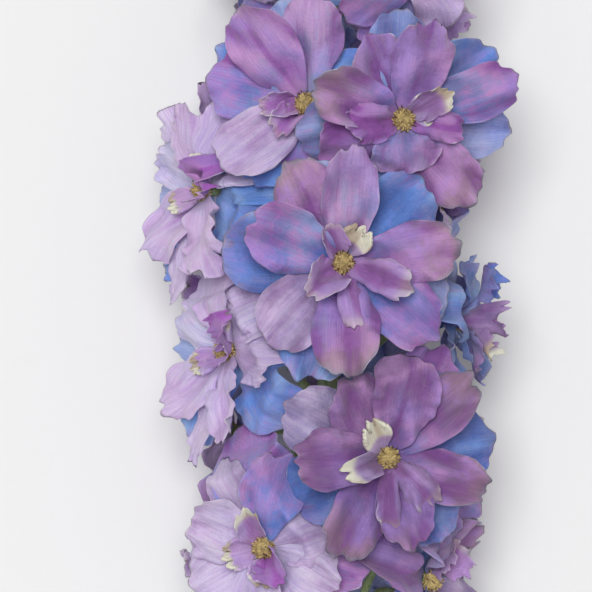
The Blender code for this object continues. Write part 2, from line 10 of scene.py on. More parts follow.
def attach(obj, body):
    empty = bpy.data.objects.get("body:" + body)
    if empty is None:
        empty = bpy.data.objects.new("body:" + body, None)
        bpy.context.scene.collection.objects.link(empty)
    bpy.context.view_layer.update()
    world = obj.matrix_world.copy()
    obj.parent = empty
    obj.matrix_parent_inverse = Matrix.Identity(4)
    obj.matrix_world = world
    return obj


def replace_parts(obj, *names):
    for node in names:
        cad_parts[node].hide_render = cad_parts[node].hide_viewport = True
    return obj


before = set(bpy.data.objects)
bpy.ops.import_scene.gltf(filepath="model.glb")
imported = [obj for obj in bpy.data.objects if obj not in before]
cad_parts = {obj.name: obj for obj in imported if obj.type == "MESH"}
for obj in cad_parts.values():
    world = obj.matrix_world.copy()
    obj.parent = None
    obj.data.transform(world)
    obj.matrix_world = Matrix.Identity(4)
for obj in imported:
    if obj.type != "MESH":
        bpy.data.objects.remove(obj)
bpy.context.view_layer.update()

# A cut spike of double delphinium flowers, laid on its side with its tip at +Y and its best side up.
# Lengths are in millimetres up to the place where a mesh is made, because the frame is in metres.


# THE STEM
# One green flower stem, faintly ribbed, cut square at its lower end. It lies 40 mm above the
# surface on the florets round it, and leans and thins towards its tip.

METRE = 0.001
SPIKE_LENGTH = 346.0
STEM_ABOVE_SURFACE = 40.0
CUT_END_RADIUS = 4.6
TIP_RADIUS = 1.1
STEM_TAPER = 1.2
LEAN_START = 190.0
TIP_LEAN = 9.0
TIP_RISE = 6.0
ORIGIN_ALONG = 173.0
ORIGIN_ACROSS = -1.0
STEM_RINGS = 90
STEM_SIDES = 36
STEM_RIBS = 9
RIB_DEPTH = 0.035
RIB_TWIST = 0.01
STEM_GREEN = (0.155, 0.235, 0.075)
STEM_LIGHT_GREEN = (0.30, 0.38, 0.17)
STEM_PURPLE = (0.16, 0.10, 0.17)
TIP_CLOSING = 0.35


def stem_point(height):
    """The stem's middle at a height along it from its cut end."""
    past = max(0.0, height - LEAN_START) / (SPIKE_LENGTH - LEAN_START)
    return np.array((TIP_LEAN * past ** 2 - ORIGIN_ACROSS, height - ORIGIN_ALONG,
                     STEM_ABOVE_SURFACE + TIP_RISE * past ** 2))


def stem_radius(height):
    return CUT_END_RADIUS + (TIP_RADIUS - CUT_END_RADIUS) * (height / SPIKE_LENGTH) ** STEM_TAPER


def outward(side, lift=0.0):
    """The direction that leaves the stem at a side (0 up, 90 right), lifted towards the tip."""
    turn, up = math.radians(side), math.radians(lift)
    return np.array((math.sin(turn) * math.cos(up), math.sin(up), math.cos(turn) * math.cos(up)))


def unit(vector):
    return vector / np.linalg.norm(vector)


def mesh_of(name, points, edges, faces, floats):
    """A mesh from points in millimetres, with its attributes."""
    data = bpy.data.meshes.new(name)
    data.from_pydata((np.asarray(points) * METRE).tolist(), edges, faces)
    for key, values in floats.items():
        data.attributes.new(key, "FLOAT", "POINT").data.foreach_set("value", np.asarray(values, np.float32))
    return data


def linked(name, data):
    """A new object in the scene."""
    thing = bpy.data.objects.new(name, data)
    bpy.context.scene.collection.objects.link(thing)
    return thing


def grown(name, points, faces, finish, slot, floats=None, uv=None):
    """A smooth piece from points in millimetres, riding on the one body."""
    data = mesh_of(name, points, [], [tuple(face) for face in faces], floats or {})
    if uv is not None:
        corners = np.zeros(len(data.loops), np.int32)
        data.loops.foreach_get("vertex_index", corners)
        layer = data.uv_layers.new(name="petal")
        layer.data.foreach_set("uv", np.asarray(uv, np.float32)[corners].ravel())
    data.shade_smooth()
    data.materials.append(finish)
    piece = linked(name, data)
    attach(piece, "root")
    return piece


def added(tree, kind, inputs=None, **settings):
    """A new node with its settings, and its inputs given as values or as other nodes' outputs."""
    node = tree.nodes.new(kind)
    for key, value in settings.items():
        setattr(node, key, value)
    for key, value in (inputs or {}).items():
        if isinstance(value, bpy.types.NodeSocket):
            tree.links.new(value, node.inputs[key])
        else:
            node.inputs[key].default_value = value
    return node


class Finish:
    """A material under construction: its shader, and short ways to add and link nodes."""

    def __init__(self, name, **constants):
        self.material = bpy.data.materials.new(name)
        self.material.use_nodes = True
        self.tree = self.material.node_tree
        self.shader = self.tree.nodes["Principled BSDF"]
        for socket, value in constants.items():
            self.shader.inputs[socket.replace("_", " ")].default_value = value
        self.place = self.add("TexCoord").outputs["Object"]

    def add(self, kind, inputs=None, **settings):
        return added(self.tree, "ShaderNode" + kind, inputs, **settings)

    def mix(self, share, low, high, blend_type="MIX"):
        """The colour a share of the way from one to another, or to both blended another way."""
        low, high = ((*colour, 1.0) if isinstance(colour, tuple) else colour for colour in (low, high))
        node = self.add("Mix", {0: share, 6: low, 7: high}, data_type="RGBA", blend_type=blend_type)
        return node.outputs[2]

    def shape(self, value, low, high, to_low=0.0, to_high=1.0):
        """A value spread from one range to another, smoothly."""
        node = self.add("MapRange", {"Value": value, "From Min": low, "From Max": high,
                                     "To Min": to_low, "To Max": to_high}, interpolation_type="SMOOTHSTEP")
        return node.outputs["Result"]

    def noise(self, vector, scale, detail=3.0, roughness=0.55):
        return self.add("TexNoise", {"Vector": vector, "Scale": scale, "Detail": detail,
                                     "Roughness": roughness}).outputs["Fac"]

    def stretched(self, source, scale, place=(0.0, 0.0, 0.0)):
        node = self.add("Mapping", {"Vector": source, "Scale": scale, "Location": place})
        return node.outputs["Vector"]

    def math(self, operation, first, second):
        return self.add("Math", {0: first, 1: second}, operation=operation).outputs[0]

    def plus(self, first, second):
        return self.math("ADD", first, second)

    def times(self, first, second):
        return self.math("MULTIPLY", first, second)

    def done(self, colour, height, strength, distance):
        """Links the colour and the bump, and gives the material."""
        bump = self.add("Bump", {"Height": height, "Strength": strength, "Distance": distance})
        self.tree.links.new(colour, self.shader.inputs["Base Color"])
        self.tree.links.new(bump.outputs["Normal"], self.shader.inputs["Normal"])
        return self.material


def stem_finish():
    finish = Finish("stem_skin", Roughness=0.48, Subsurface_Weight=0.08, Sheen_Weight=0.12)
    streaks = finish.noise(finish.stretched(finish.place, (1.0, 0.06, 1.0)), 900.0)
    patches = finish.noise(finish.place, 60.0)
    colour = finish.mix(finish.shape(streaks, 0.35, 0.68), STEM_GREEN, STEM_LIGHT_GREEN)
    colour = finish.mix(finish.shape(patches, 0.55, 0.8, 0.0, 0.55), colour, STEM_PURPLE)
    return finish.done(colour, streaks, 0.35, 0.0004)


def ring_round(middle, across, other, sides, radius):
    """Points round a middle in the plane of two directions, with the radius worked out for each turn."""
    turns = [2.0 * math.pi * s / sides for s in range(sides)]
    return [middle + (across * math.cos(turn) + other * math.sin(turn)) * radius(turn) for turn in turns]


def closed_rings(rings):
    """Points and faces of a closed tube: rings of points, with a middle point that closes each end."""
    count, sides = len(rings), len(rings[0])
    points = [point for ring in rings for point in ring]
    points += [np.mean(rings[0], axis=0), np.mean(rings[-1], axis=0)]
    faces = []
    for k in range(count - 1):
        for s in range(sides):
            n = (s + 1) % sides
            faces.append((k * sides + s, k * sides + n, (k + 1) * sides + n, (k + 1) * sides + s))
    last = (count - 1) * sides
    for s in range(sides):
        n = (s + 1) % sides
        faces.append((n, s, count * sides))
        faces.append((last + s, last + n, count * sides + 1))
    return points, faces


def stem_ring(order):
    """The ribbed ring of points at one station of the stem, drawn in at its tip."""
    height = SPIKE_LENGTH * order / (STEM_RINGS - 1.0)
    closing = TIP_CLOSING if order == STEM_RINGS - 1 else 1.0

    def ribbed(turn):
        rib = 1.0 + RIB_DEPTH * math.cos(STEM_RIBS * turn + RIB_TWIST * height)
        return stem_radius(height) * rib * closing

    across, down = np.array((1.0, 0.0, 0.0)), np.array((0.0, 0.0, -1.0))
    return ring_round(stem_point(height), across, down, STEM_SIDES, ribbed)


green_skin = stem_finish()
stem_rings = [stem_ring(order) for order in range(STEM_RINGS)]
stem = grown("ribbed_stem", *closed_rings(stem_rings), green_skin, "green_stem")
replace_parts(stem, "stem")


# THE BLOOMS' PLACES
# Twenty-six open double florets stand round the stem, each on its own stalk. Those that lie on
# top overlap the ones beside them: where two meet, the upper rides over and the lower tucks under.

CLEARANCE = 0.65
PLANE_SLANT = 70.0
FULL_PLANE = 31.0
PLANE_FADE = 1.6
LAYER_GAP = 1.1
TOP_ORDER = 3.0
NEIGHBOUR_REACH = 74.0
FACING_APART = -0.3
LEAST_SLOPE = 0.3
SOFT_TURN = 2.6
LOWEST = 0.25

# Sepals and petals of the blooms that show, in their layers from the outside in: angle from the bloom's
# right towards the spike's tip, length, width and how it is coloured.
MIDDLE_BLOOM = {
    "sepal": ((42, 32, 22, "azure"), (-27, 31, 21, "sky"), (172, 33, 22, "teal"), (247, 34, 24, "azure"),
              (105, 29, 20, "sky")),
    "petal": ((85, 33, 16, "lilac"), (122, 32, 18, "dusky"), (160, 30, 19, "violet"),
              (8, 33, 17, "dusky"), (-35, 33, 19, "violet"), (-87, 33, 19, "dusky"),
              (223, 31, 19, "pink")),
    "curl": ((-21, 23, 11, "frilled"), (-78, 20, 7, "frilled")),
    "inner": ((216, 18, 10, "frilled"), (117, 13, 7, "frilled")),
    "stub": ((62, 9, 5, "cream"),),
}
UPPER_RIGHT_BLOOM = {
    "sepal": ((41, 33, 18, "azure"), (-8, 31, 17, "sky"), (97, 30, 17, "sky"), (185, 29, 18, "teal"),
              (260, 28, 18, "azure")),
    "petal": ((118, 25, 17, "mauve"), (78, 28, 17, "mauve"), (19, 34, 15, "violet"),
              (-52, 30, 16, "dusky"), (-88, 24, 19, "lilac"), (160, 30, 16, "dusky"),
              (200, 29, 15, "wine")),
    "curl": ((187, 19, 12, "wine"), (-12, 18, 10, "wine")),
    "inner": ((35, 16, 8, "tipped"),),
    "stub": ((25, 8, 5, "cream"),),
}
UPPER_LEFT_BLOOM = {
    "sepal": ((158, 31, 23, "azure"), (100, 30, 20, "sky"), (230, 28, 20, "azure"), (285, 26, 18, "sky"),
              (30, 24, 18, "azure")),
    "petal": ((160, 28, 21, "violet"), (122, 32, 19, "mauve"), (82, 31, 17, "lilac"),
              (222, 29, 19, "pink"), (265, 22, 15, "violet"), (-50, 20, 14, "mauve")),
    "inner": ((180, 13, 8, "frilled"), (230, 13, 8, "frilled"), (-20, 12, 8, "wine")),
}
LOWER_BLOOM = {
    "sepal": ((116, 29, 19, "teal"), (12, 31, 22, "azure"), (207, 29, 21, "azure"),
              (62, 34, 19, "violet"), (-60, 27, 20, "azure"), (154, 33, 20, "ice")),
    "petal": ((121, 25, 19, "mauve"), (76, 30, 19, "mauve"), (40, 33, 15, "dusky"),
              (-20, 29, 15, "dusky"), (-75, 26, 16, "mauve"), (242, 32, 17, "dusky"),
              (180, 29, 17, "mauve")),
    "curl": ((-45, 20, 12, "frilled"), (-95, 23, 7, "frilled")),
    "inner": ((196, 19, 8, "tipped"),),
    "stub": ((125, 10, 5, "cream"),),
}
PALE_BLOOM = {
    "sepal": ((98, 34, 21, "violet"), (50, 33, 20, "azure"), (-10, 29, 18, "violet"),
              (-70, 27, 18, "pale"), (200, 23, 18, "ice")),
    "petal": ((158, 21, 19, "pale"), (207, 22, 19, "pale"), (118, 27, 13, "pale"),
              (78, 33, 16, "violet"), (12, 20, 17, "pink"), (-32, 24, 17, "pale"), (-95, 27, 17, "pale")),
    "inner": ((108, 14, 7, "tipped"), (-45, 14, 9, "wine")),
    "stub": ((190, 9, 6, "tipped"), (280, 9, 6, "tipped")),
}
SIDE_BLOOM = {
    "sepal": ((176, 26, 18, "sky"), (118, 27, 18, "pale"), (240, 29, 18, "azure"), (-50, 29, 20, "teal"),
              (18, 28, 20, "azure")),
    "petal": ((89, 28, 16, "pink"), (50, 33, 17, "pale"), (228, 25, 17, "pink"), (256, 34, 9, "pale"),
              (-64, 28, 16, "pink"), (-10, 32, 16, "pink"), (145, 21, 15, "ice")),
    "inner": ((40, 18, 8, "wine"), (-10, 12, 8, "wine")),
    "stub": ((60, 10, 5, "tipped"), (210, 9, 5, "tipped")),
}
RIGHT_BLOOM = {
    "sepal": ((5, 28, 20, "azure"), (72, 18, 17, "sky"), (140, 24, 19, "azure"), (215, 24, 19, "azure"),
              (285, 17, 17, "violet")),
    "petal": ((35, 26, 18, "azure"), (100, 17, 16, "azure"), (170, 27, 18, "azure"),
              (245, 16, 16, "violet"), (320, 24, 18, "azure")),
    "inner": ((110, 20, 11, "azure"), (182, 21, 11, "wine"), (250, 15, 9, "tipped")),
}
BACK_BLOOM = {
    "sepal": ((20, 29, 20, "azure"), (110, 30, 20, "sky"), (197, 28, 21, "azure"), (291, 30, 20, "teal")),
    "petal": ((62, 29, 19, "lilac"), (150, 28, 19, "mauve"), (246, 29, 18, "lilac"),
              (334, 28, 19, "violet")),
}

# The layers of a typical bloom, which is turned by chance: the first one's angle, their length and width,
# and how each is coloured.
TYPICAL_LAYERS = {
    "sepal": (0.0, 30.0, 21.0, ("azure", "sky", "azure", "violet", "teal")),
    "petal": (36.0, 29.0, 19.0, ("lilac", "mauve", "violet", "pink", "dusky")),
    "inner": (20.0, 16.0, 10.0, ("frilled",)),
}
MOST_TURNED = 72.0
UNEVEN_ANGLE = 7.0
UNEVEN_LENGTH = 0.08

# Height along the stem, side (0 up, 90 right), reach from the stem, side that it faces, lift towards the tip,
# size, how deep and dull its colours are, how torn its petals' ends are, and the petals of its own.
# The uppermost-lying blooms come first.
BLOOMS = (
    (180.6, 5.0, 40.0, 3.0, 0.0, 1.0, 0.52, 0.02, MIDDLE_BLOOM),
    (222.0, 29.0, 42.0, 13.0, 0.0, 1.0, 0.60, 0.03, UPPER_RIGHT_BLOOM),
    (124.3, 24.0, 40.0, 12.0, 0.0, 1.0, 1.00, 0.06, LOWER_BLOOM),
    (226.7, -13.0, 31.0, -16.0, 0.0, 1.0, 0.12, 0.02, UPPER_LEFT_BLOOM),
    (202.3, -61.0, 40.5, -52.0, 0.0, 1.0, -0.34, 0.24, SIDE_BLOOM),
    (155.3, -46.0, 40.0, -50.0, 0.0, 1.0, -0.42, 0.20, SIDE_BLOOM),
    (98.2, -28.0, 40.0, -16.0, -4.0, 1.0, 0.10, 0.10, PALE_BLOOM),
    (269.0, 29.0, 36.0, 24.0, 10.0, 0.80, 0.60, 0.03),
    (88.0, 54.0, 34.5, 59.0, -10.0, 0.86, 1.00, 0.16),
    (163.5, 77.0, 38.0, 80.0, 6.0, 0.95, 1.00, 0.10, RIGHT_BLOOM),
    (122.0, 94.0, 34.0, 94.0, 0.0, 0.95),
    (200.0, 98.0, 33.0, 98.0, 0.0, 0.92),
    (245.0, 92.0, 29.0, 92.0, 8.0, 0.84),
    (170.0, -118.0, 33.0, -114.0, 0.0, 0.94),
    (130.0, -112.0, 30.0, -110.0, 0.0, 0.92),
    (212.0, -130.0, 33.0, -126.0, 4.0, 0.92, 0.55, 0.05, BACK_BLOOM),
    (87.0, -104.0, 31.0, -101.0, -12.0, 0.90),
    (178.0, 152.0, 33.0, 154.0, 0.0, 0.94),
    (141.0, 147.0, 33.0, 150.0, 0.0, 0.92),
    (222.0, 154.0, 32.0, 156.0, 4.0, 0.90),
    (101.0, 152.0, 33.0, 155.0, -6.0, 0.92),
    (78.0, 112.0, 32.0, 108.0, -14.0, 0.86),
    (252.0, -165.0, 29.0, -163.0, 8.0, 0.78),
    (275.0, -57.0, 27.0, -58.0, 14.0, 0.72),
    (283.0, 122.0, 27.0, 120.0, 16.0, 0.74),
    (297.0, -8.0, 25.0, -4.0, 24.0, 0.66),
)
BLOOMS_IN_VIEW = 10
BLOOMS_WITH_OWN_EYE = 7


class Bloom:
    """A bloom's place: its middle, the way it faces and the two directions across it."""

    def __init__(self, order, height, side, reach, faces, lift, size, depth=0.55, torn=0.05, layers=None):
        self.name = f"bloom_{order + 1:02d}"
        self.order = order
        self.height = height
        self.side = side
        self.size = size
        self.depth = depth
        self.torn = torn
        self.middle = stem_point(height) + outward(side) * reach
        self.axis = outward(faces, lift)
        along = np.array((0.0, 1.0, 0.0))
        self.up = unit(along - self.axis * along.dot(self.axis))
        self.right = unit(np.cross(self.up, self.axis))
        self.limits = []
        self.layers = layers or self.typical_layers()

    def typical_layers(self):
        """Sepals and petals of a bloom that has no list of its own."""
        draw = random.Random(self.name)
        first = draw.uniform(0.0, MOST_TURNED)
        layers = {}
        for layer, (start, length, width, colours) in TYPICAL_LAYERS.items():
            layers[layer] = []
            for k, colour in enumerate(colours):
                scale = 1.0 + draw.uniform(-UNEVEN_LENGTH, UNEVEN_LENGTH)
                own = start + 360.0 / len(colours) * k
                angle = first + own + draw.uniform(-UNEVEN_ANGLE, UNEVEN_ANGLE)
                layers[layer].append((angle, length * scale, width * scale, colour))
        return layers

    def place(self, local):
        """World points of local ones: x right, y towards the tip, z outward."""
        return (self.middle + local[..., :1] * self.right + local[..., 1:2] * self.up
                + local[..., 2:] * self.axis)

    def spread_to(self, placed):
        """How far points are from the bloom's axis."""
        away = placed - self.middle
        return np.linalg.norm(away - (away @ self.axis)[..., None] * self.axis, axis=-1)

    def settled(self, order, local, soft):
        """Local points moved along the axis to the bloom's own side of the planes between neighbours."""
        base = self.place(local * np.array((1.0, 1.0, 0.0)))
        placed = self.place(local)
        lowest, highest = np.full(local.shape[:-1], -1e3), np.full(local.shape[:-1], 1e3)
        for point, normal, sign, other in self.limits:
            slope = self.axis.dot(normal) * sign
            if abs(slope) < LEAST_SLOPE:
                continue
            margin = 0.0
            if other:
                past = np.maximum(0.0, other.spread_to(placed) - FULL_PLANE * other.size)
                margin = CLEARANCE - PLANE_FADE * past
            layer = min(order, TOP_ORDER)
            margin = margin + LAYER_GAP * (layer if slope > 0.0 else TOP_ORDER - layer)
            bound = (margin - ((base - point) @ normal) * sign) / slope
            if slope > 0.0:
                lowest = np.maximum(lowest, bound)
            else:
                highest = np.minimum(highest, bound)
        height = local[..., 2]
        height = -soft_lower(-height, -lowest, soft)
        height = soft_lower(height, highest, soft)
        return np.concatenate((local[..., :2], height[..., None]), axis=-1)


def soft_lower(first, second, soft):
    """The lower of two heights, rounded where they cross."""
    if soft == 0.0:
        return np.minimum(first, second)
    near = np.maximum(soft - np.abs(first - second), 0.0) / soft
    return np.minimum(first, second) - 0.25 * soft * near ** 2


blooms = [Bloom(order, *row) for order, row in enumerate(BLOOMS)]
for k, over in enumerate(blooms):
    for under in blooms[k + 1:]:
        apart = over.middle - under.middle
        if np.linalg.norm(apart) > NEIGHBOUR_REACH or over.axis.dot(under.axis) < FACING_APART:
            continue
        facing = unit(over.axis + under.axis)
        across = unit(apart - facing * apart.dot(facing))
        slant = math.radians(PLANE_SLANT)
        normal = across * math.cos(slant) + facing * math.sin(slant)
        halfway = (over.middle + under.middle) * 0.5
        over.limits.append((halfway, normal, 1.0, under))
        under.limits.append((halfway, normal, -1.0, over))
for bloom in blooms:
    bloom.limits.append((np.zeros(3), np.array((0.0, 0.0, 1.0)), 1.0, None))


# THE PEDICELS
# Each floret's green stalk grows out of the stem, rises and bends in behind its bloom, where it
# swells into the small receptacle that the sepals, petals and stamens stand on.

PEDICEL_END = -4.3
PEDICEL_DROP = 15.0
PEDICEL_RADII = (1.5, 1.3, 1.15, 1.3, 2.1, 2.1, 1.4)
PEDICEL_RISE = (5.0, 3.0)
PEDICEL_BEND = 12.0
RECEPTACLE_STEPS = (0.0, 1.8, 4.2, 6.6)
STALK_SIDES = 12
STALK_STEPS = 42


class Growth:
    """A geometry node tree under construction: its own inputs, and a short way to add and link nodes."""

    def __init__(self, name, inputs):
        self.tree = bpy.data.node_groups.new(name, "GeometryNodeTree")
        sockets = self.tree.interface
        sockets.new_socket("Geometry", in_out="INPUT", socket_type="NodeSocketGeometry")
        self.keys = {key: sockets.new_socket(key, in_out="INPUT", socket_type="NodeSocket" + kind).identifier
                     for key, kind in inputs.items()}
        sockets.new_socket("Geometry", in_out="OUTPUT", socket_type="NodeSocketGeometry")
        self.given = self.tree.nodes.new("NodeGroupInput").outputs

    def add(self, kind, inputs=None, **settings):
        return added(self.tree, "GeometryNode" + kind, inputs, **settings).outputs

    def named(self, attribute):
        return self.add("InputNamedAttribute", {"Name": attribute}, data_type="FLOAT")["Attribute"]

    def painted(self, geometry, finish):
        """Instances made real and given a material."""
        real = self.add("RealizeInstances", {"Geometry": geometry})["Geometry"]
        return self.add("SetMaterial", {"Geometry": real, "Material": finish})["Geometry"]

    def done(self, geometry):
        added(self.tree, "NodeGroupOutput", {"Geometry": geometry})
        return self

    def make(self, name, data, settings, slot):
        """The plain mesh that the tree makes of a mesh, riding on the one body."""
        maker = linked(name + "_start", data)
        nodes = maker.modifiers.new("made", "NODES")
        nodes.node_group = self.tree
        for key, value in settings.items():
            nodes[self.keys[key]] = value
        evaluated = maker.evaluated_get(bpy.context.evaluated_depsgraph_get())
        data = bpy.data.meshes.new_from_object(evaluated)
        data.shade_smooth()
        bpy.data.objects.remove(maker, do_unlink=True)
        piece = linked(name, data)
        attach(piece, "root")
        return piece


def stalk_tree():
    """Geometry nodes that turn a chain of points with a radius into a smooth round stalk."""
    growth = Growth("grown_stalks", {"Steps": "Int", "Sides": "Int", "Finish": "Material"})
    add, given = growth.add, growth.given
    chain = add("MeshToCurve", {"Mesh": given["Geometry"]})["Curve"]
    sized = add("SetCurveRadius", {"Curve": chain, "Radius": growth.named("radius_here")})["Curve"]
    smooth = add("CurveSplineType", {"Curve": sized}, spline_type="CATMULL_ROM")["Curve"]
    fine = add("ResampleCurve", {"Curve": smooth, "Count": given["Steps"]})["Curve"]
    section = add("CurvePrimitiveCircle", {"Radius": 1.0, "Resolution": given["Sides"]})["Curve"]
    skin = add("CurveToMesh", {"Curve": fine, "Profile Curve": section, "Fill Caps": True,
                               "Scale": add("InputRadius")["Radius"]})["Mesh"]
    return growth.done(growth.painted(skin, given["Finish"]))


class Chains:
    """Chains of points with a radius, from which one piece of stalks grows."""

    def __init__(self):
        self.points, self.edges, self.radii = [], [], []

    def add(self, route, radii):
        first = len(self.points)
        self.edges += [(first + k, first + k + 1) for k in range(len(route) - 1)]
        self.points += route
        self.radii += [radius * METRE for radius in radii]

    def grow(self, name, steps, sides):
        data = mesh_of(name, self.points, self.edges, [], {"radius_here": self.radii})
        stalks.make(name, data, {"Steps": steps, "Sides": sides, "Finish": green_skin}, "green_stem")


stalks = stalk_tree()
pedicels = Chains()
for bloom in blooms:
    end = bloom.middle + bloom.axis * PEDICEL_END
    foot_height = bloom.height - PEDICEL_DROP
    foot = stem_point(foot_height)
    low = (foot + outward(bloom.side) * (stem_radius(foot_height) + PEDICEL_RISE[0])
           + np.array((0.0, PEDICEL_RISE[1], 0.0)))
    pedicels.add([foot, low, end - bloom.axis * PEDICEL_BEND]
                 + [end + bloom.axis * step for step in RECEPTACLE_STEPS], PEDICEL_RADII)
pedicels.grow("pedicels", STALK_STEPS, STALK_SIDES)


# THE BRACTS
# A narrow green leaf stands under each of the lowest and the highest pedicels, folded along its rib.
# It grows from the stem with the pedicel, and hangs close to it towards the cut end.

BRACT_LENGTH = 13.0
BRACT_WIDTH = 3.2
BRACT_THICKNESS = 0.35
BRACT_GRID = (12, 7)
BRACT_BELOW = 2.0
BRACT_ROOTED = 0.6
BRACT_LIFT = 5.0
BRACT_FOLD = 0.6
BRACTS_HIDDEN = (105.0, 262.0)


def closed_sheet(middle, thickness):
    """A grid of points given a front and a back that meet all round its rim, as points and quads."""
    along = np.gradient(middle, axis=0)
    across = np.gradient(middle, axis=1)
    normals = np.cross(along, across)
    normals /= np.maximum(np.linalg.norm(normals, axis=-1, keepdims=True), 1e-9)
    rows, columns = middle.shape[:2]
    front = np.arange(rows * columns).reshape(rows, columns)
    back = front.copy()
    back[1:-1, 1:-1] = rows * columns + np.arange((rows - 2) * (columns - 2)).reshape(rows - 2, columns - 2)
    half = np.zeros((rows, columns, 1))
    half[1:-1, 1:-1, 0] = 0.5 * thickness
    points = np.concatenate(((middle + normals * half).reshape(-1, 3),
                             (middle - normals * half)[1:-1, 1:-1].reshape(-1, 3)))
    quads = []
    for side, turn in ((front, 1), (back, -1)):
        corners = np.stack((side[:-1, :-1], side[1:, :-1], side[1:, 1:], side[:-1, 1:]), axis=-1)
        quads.append(corners.reshape(-1, 4)[:, ::turn])
    return points, np.concatenate(quads)


leaf_points, leaf_faces = [], []
for bloom in blooms:
    if BRACTS_HIDDEN[0] < bloom.height < BRACTS_HIDDEN[1]:
        continue
    out = outward(bloom.side)
    across = unit(np.cross(np.array((0.0, 1.0, 0.0)), out))
    foot = (stem_point(bloom.height - PEDICEL_DROP - BRACT_BELOW)
            + out * (stem_radius(bloom.height) - BRACT_ROOTED))
    share = np.linspace(0.0, 1.0, BRACT_GRID[0])[:, None]
    side = np.linspace(-1.0, 1.0, BRACT_GRID[1])[None, :]
    half = 0.5 * BRACT_WIDTH * (0.35 + 2.6 * share * (1.0 - share)) * (1.0 - share ** 6)
    lift = BRACT_LIFT * share ** 1.5 + BRACT_FOLD * side ** 2
    leaf = (foot + out * lift[..., None] + across * (side * half)[..., None]
            + np.array((0.0, -BRACT_LENGTH, 0.0)) * (share + 0.0 * side)[..., None])
    points, quads = closed_sheet(leaf, BRACT_THICKNESS)
    leaf_faces += (quads + sum(len(block) for block in leaf_points)).tolist()
    leaf_points.append(points)
grown("bracts", np.concatenate(leaf_points), leaf_faces, green_skin, "green_stem")


# THE BUDS
# Above the open florets stand unopened buds, lilac over green, smaller and closer to the tip.
# Each is a plump pointed body of folded sepals on a short stalk of its own.

BUD_COUNT = 12
BUD_HEIGHTS = (309.0, 343.0)
BUD_LENGTHS = (12.0, 5.0)
BUD_REACHES = (17.0, 3.4)
BUD_TURN = 137.5
FIRST_BUD_SIDE = 60.0
BUD_LEANS = (0.5, 1.2)
BUD_FULLNESS = 0.30
BUD_DROP = 9.0
BUD_ROWS = 18
BUD_SIDES = 20
BUD_FOLDS = 5
BUD_FOLD_DEPTH = 0.10
BUD_STALK_RADII = (0.9, 0.75, 0.7, 0.8)
BUD_STALK_STEPS = 14
BUD_STALK_SIDES = 8
BUD_GREEN = (0.20, 0.27, 0.14)
BUD_LILAC = (0.33, 0.19, 0.45)


def bud_finish():
    finish = Finish("bud_skin", Roughness=0.5, Subsurface_Weight=0.12, Sheen_Weight=0.2)
    share = finish.add("Attribute", attribute_name="along").outputs["Fac"]
    patches = finish.noise(finish.place, 420.0)
    blush = finish.shape(finish.plus(share, finish.times(patches, 0.5)), 0.45, 1.05)
    return finish.done(finish.mix(blush, BUD_GREEN, BUD_LILAC), patches, 0.25, 0.0003)


bud_stalks = Chains()
bud_points, bud_faces, bud_share = [], [], []
for order in range(BUD_COUNT):
    share = order / (BUD_COUNT - 1.0)
    height, length, reach = (span[0] + (span[1] - span[0]) * share
                             for span in (BUD_HEIGHTS, BUD_LENGTHS, BUD_REACHES))
    out = outward(BUD_TURN * order + FIRST_BUD_SIDE)
    axis = unit(out + np.array((0.0, BUD_LEANS[0] + BUD_LEANS[1] * share, 0.0)))
    start = stem_point(height) + out * reach - axis * 0.5 * length
    foot = stem_point(height - BUD_DROP * (1.0 - 0.6 * share))
    bud_stalks.add([foot, 0.6 * foot + 0.4 * start + np.array((0.0, -0.6, 0.0)), start,
                    start + axis * 0.2 * length], BUD_STALK_RADII)
    across = unit(np.cross(axis, np.array((0.31, 0.22, 0.93))))
    other = np.cross(axis, across)
    rings = []
    for row in range(BUD_ROWS):
        t = row / (BUD_ROWS - 1.0)
        plump = BUD_FULLNESS * length * (math.sin(math.pi * (0.06 + 0.90 * t)) ** 0.75) * (1.12 - 0.35 * t)
        rings.append(ring_round(start + axis * (length * t), across, other, BUD_SIDES, lambda turn: plump * (
            1.0 - BUD_FOLD_DEPTH * abs(math.cos(0.5 * BUD_FOLDS * (turn + 0.7 * t))) ** 6)))
        bud_share += [t] * BUD_SIDES
    points, faces = closed_rings(rings)
    bud_faces += [tuple(index + len(bud_points) for index in face) for face in faces]
    bud_points += points
    bud_share += [0.0, 1.0]
bud_stalks.grow("bud_stalks", BUD_STALK_STEPS, BUD_STALK_SIDES)
grown("buds", bud_points, bud_faces, bud_finish(), "green_stem", {"along": bud_share})


# THE SEPALS
# Behind each floret's petals spreads a back whorl of four to six broad sepals, azure to gentian blue with
# lilac margins. Each is a thin blade on a short claw, veined lengthwise, with a soft velvet skin.

# A layer's start above its bloom's middle, its claw's distance from the axis, its rise at the claw and at
# the tip, how cupped it is, its order among the layers, and how much higher every other one starts.
SEPAL_SIZES = {"sepal": (-2.8, 1.9, 9.0, -3.0, 0.08, 0.0, 1.1)}
UPPER_RISE = 6.0
EDGE_WAVE = 0.05
RIPPLE_DEPTH = 0.040
RIPPLE_COUNT = 6
CREASE_COUNT = 3
SWELL_SHARE = 0.45
INNER_LIGHTER = 0.22
TORN_FRILLS = 2.2
LOWER_DROP = 0.55
SEPAL_DROP = 0.5
LOWER_FURL = -0.10
LOWER_ROLL = 0.2
CURL_EASED = 0.84
SHORTEN_STEP = 0.94
SHORTEN_TIMES = 15
FOUND_WITHIN = 0.6
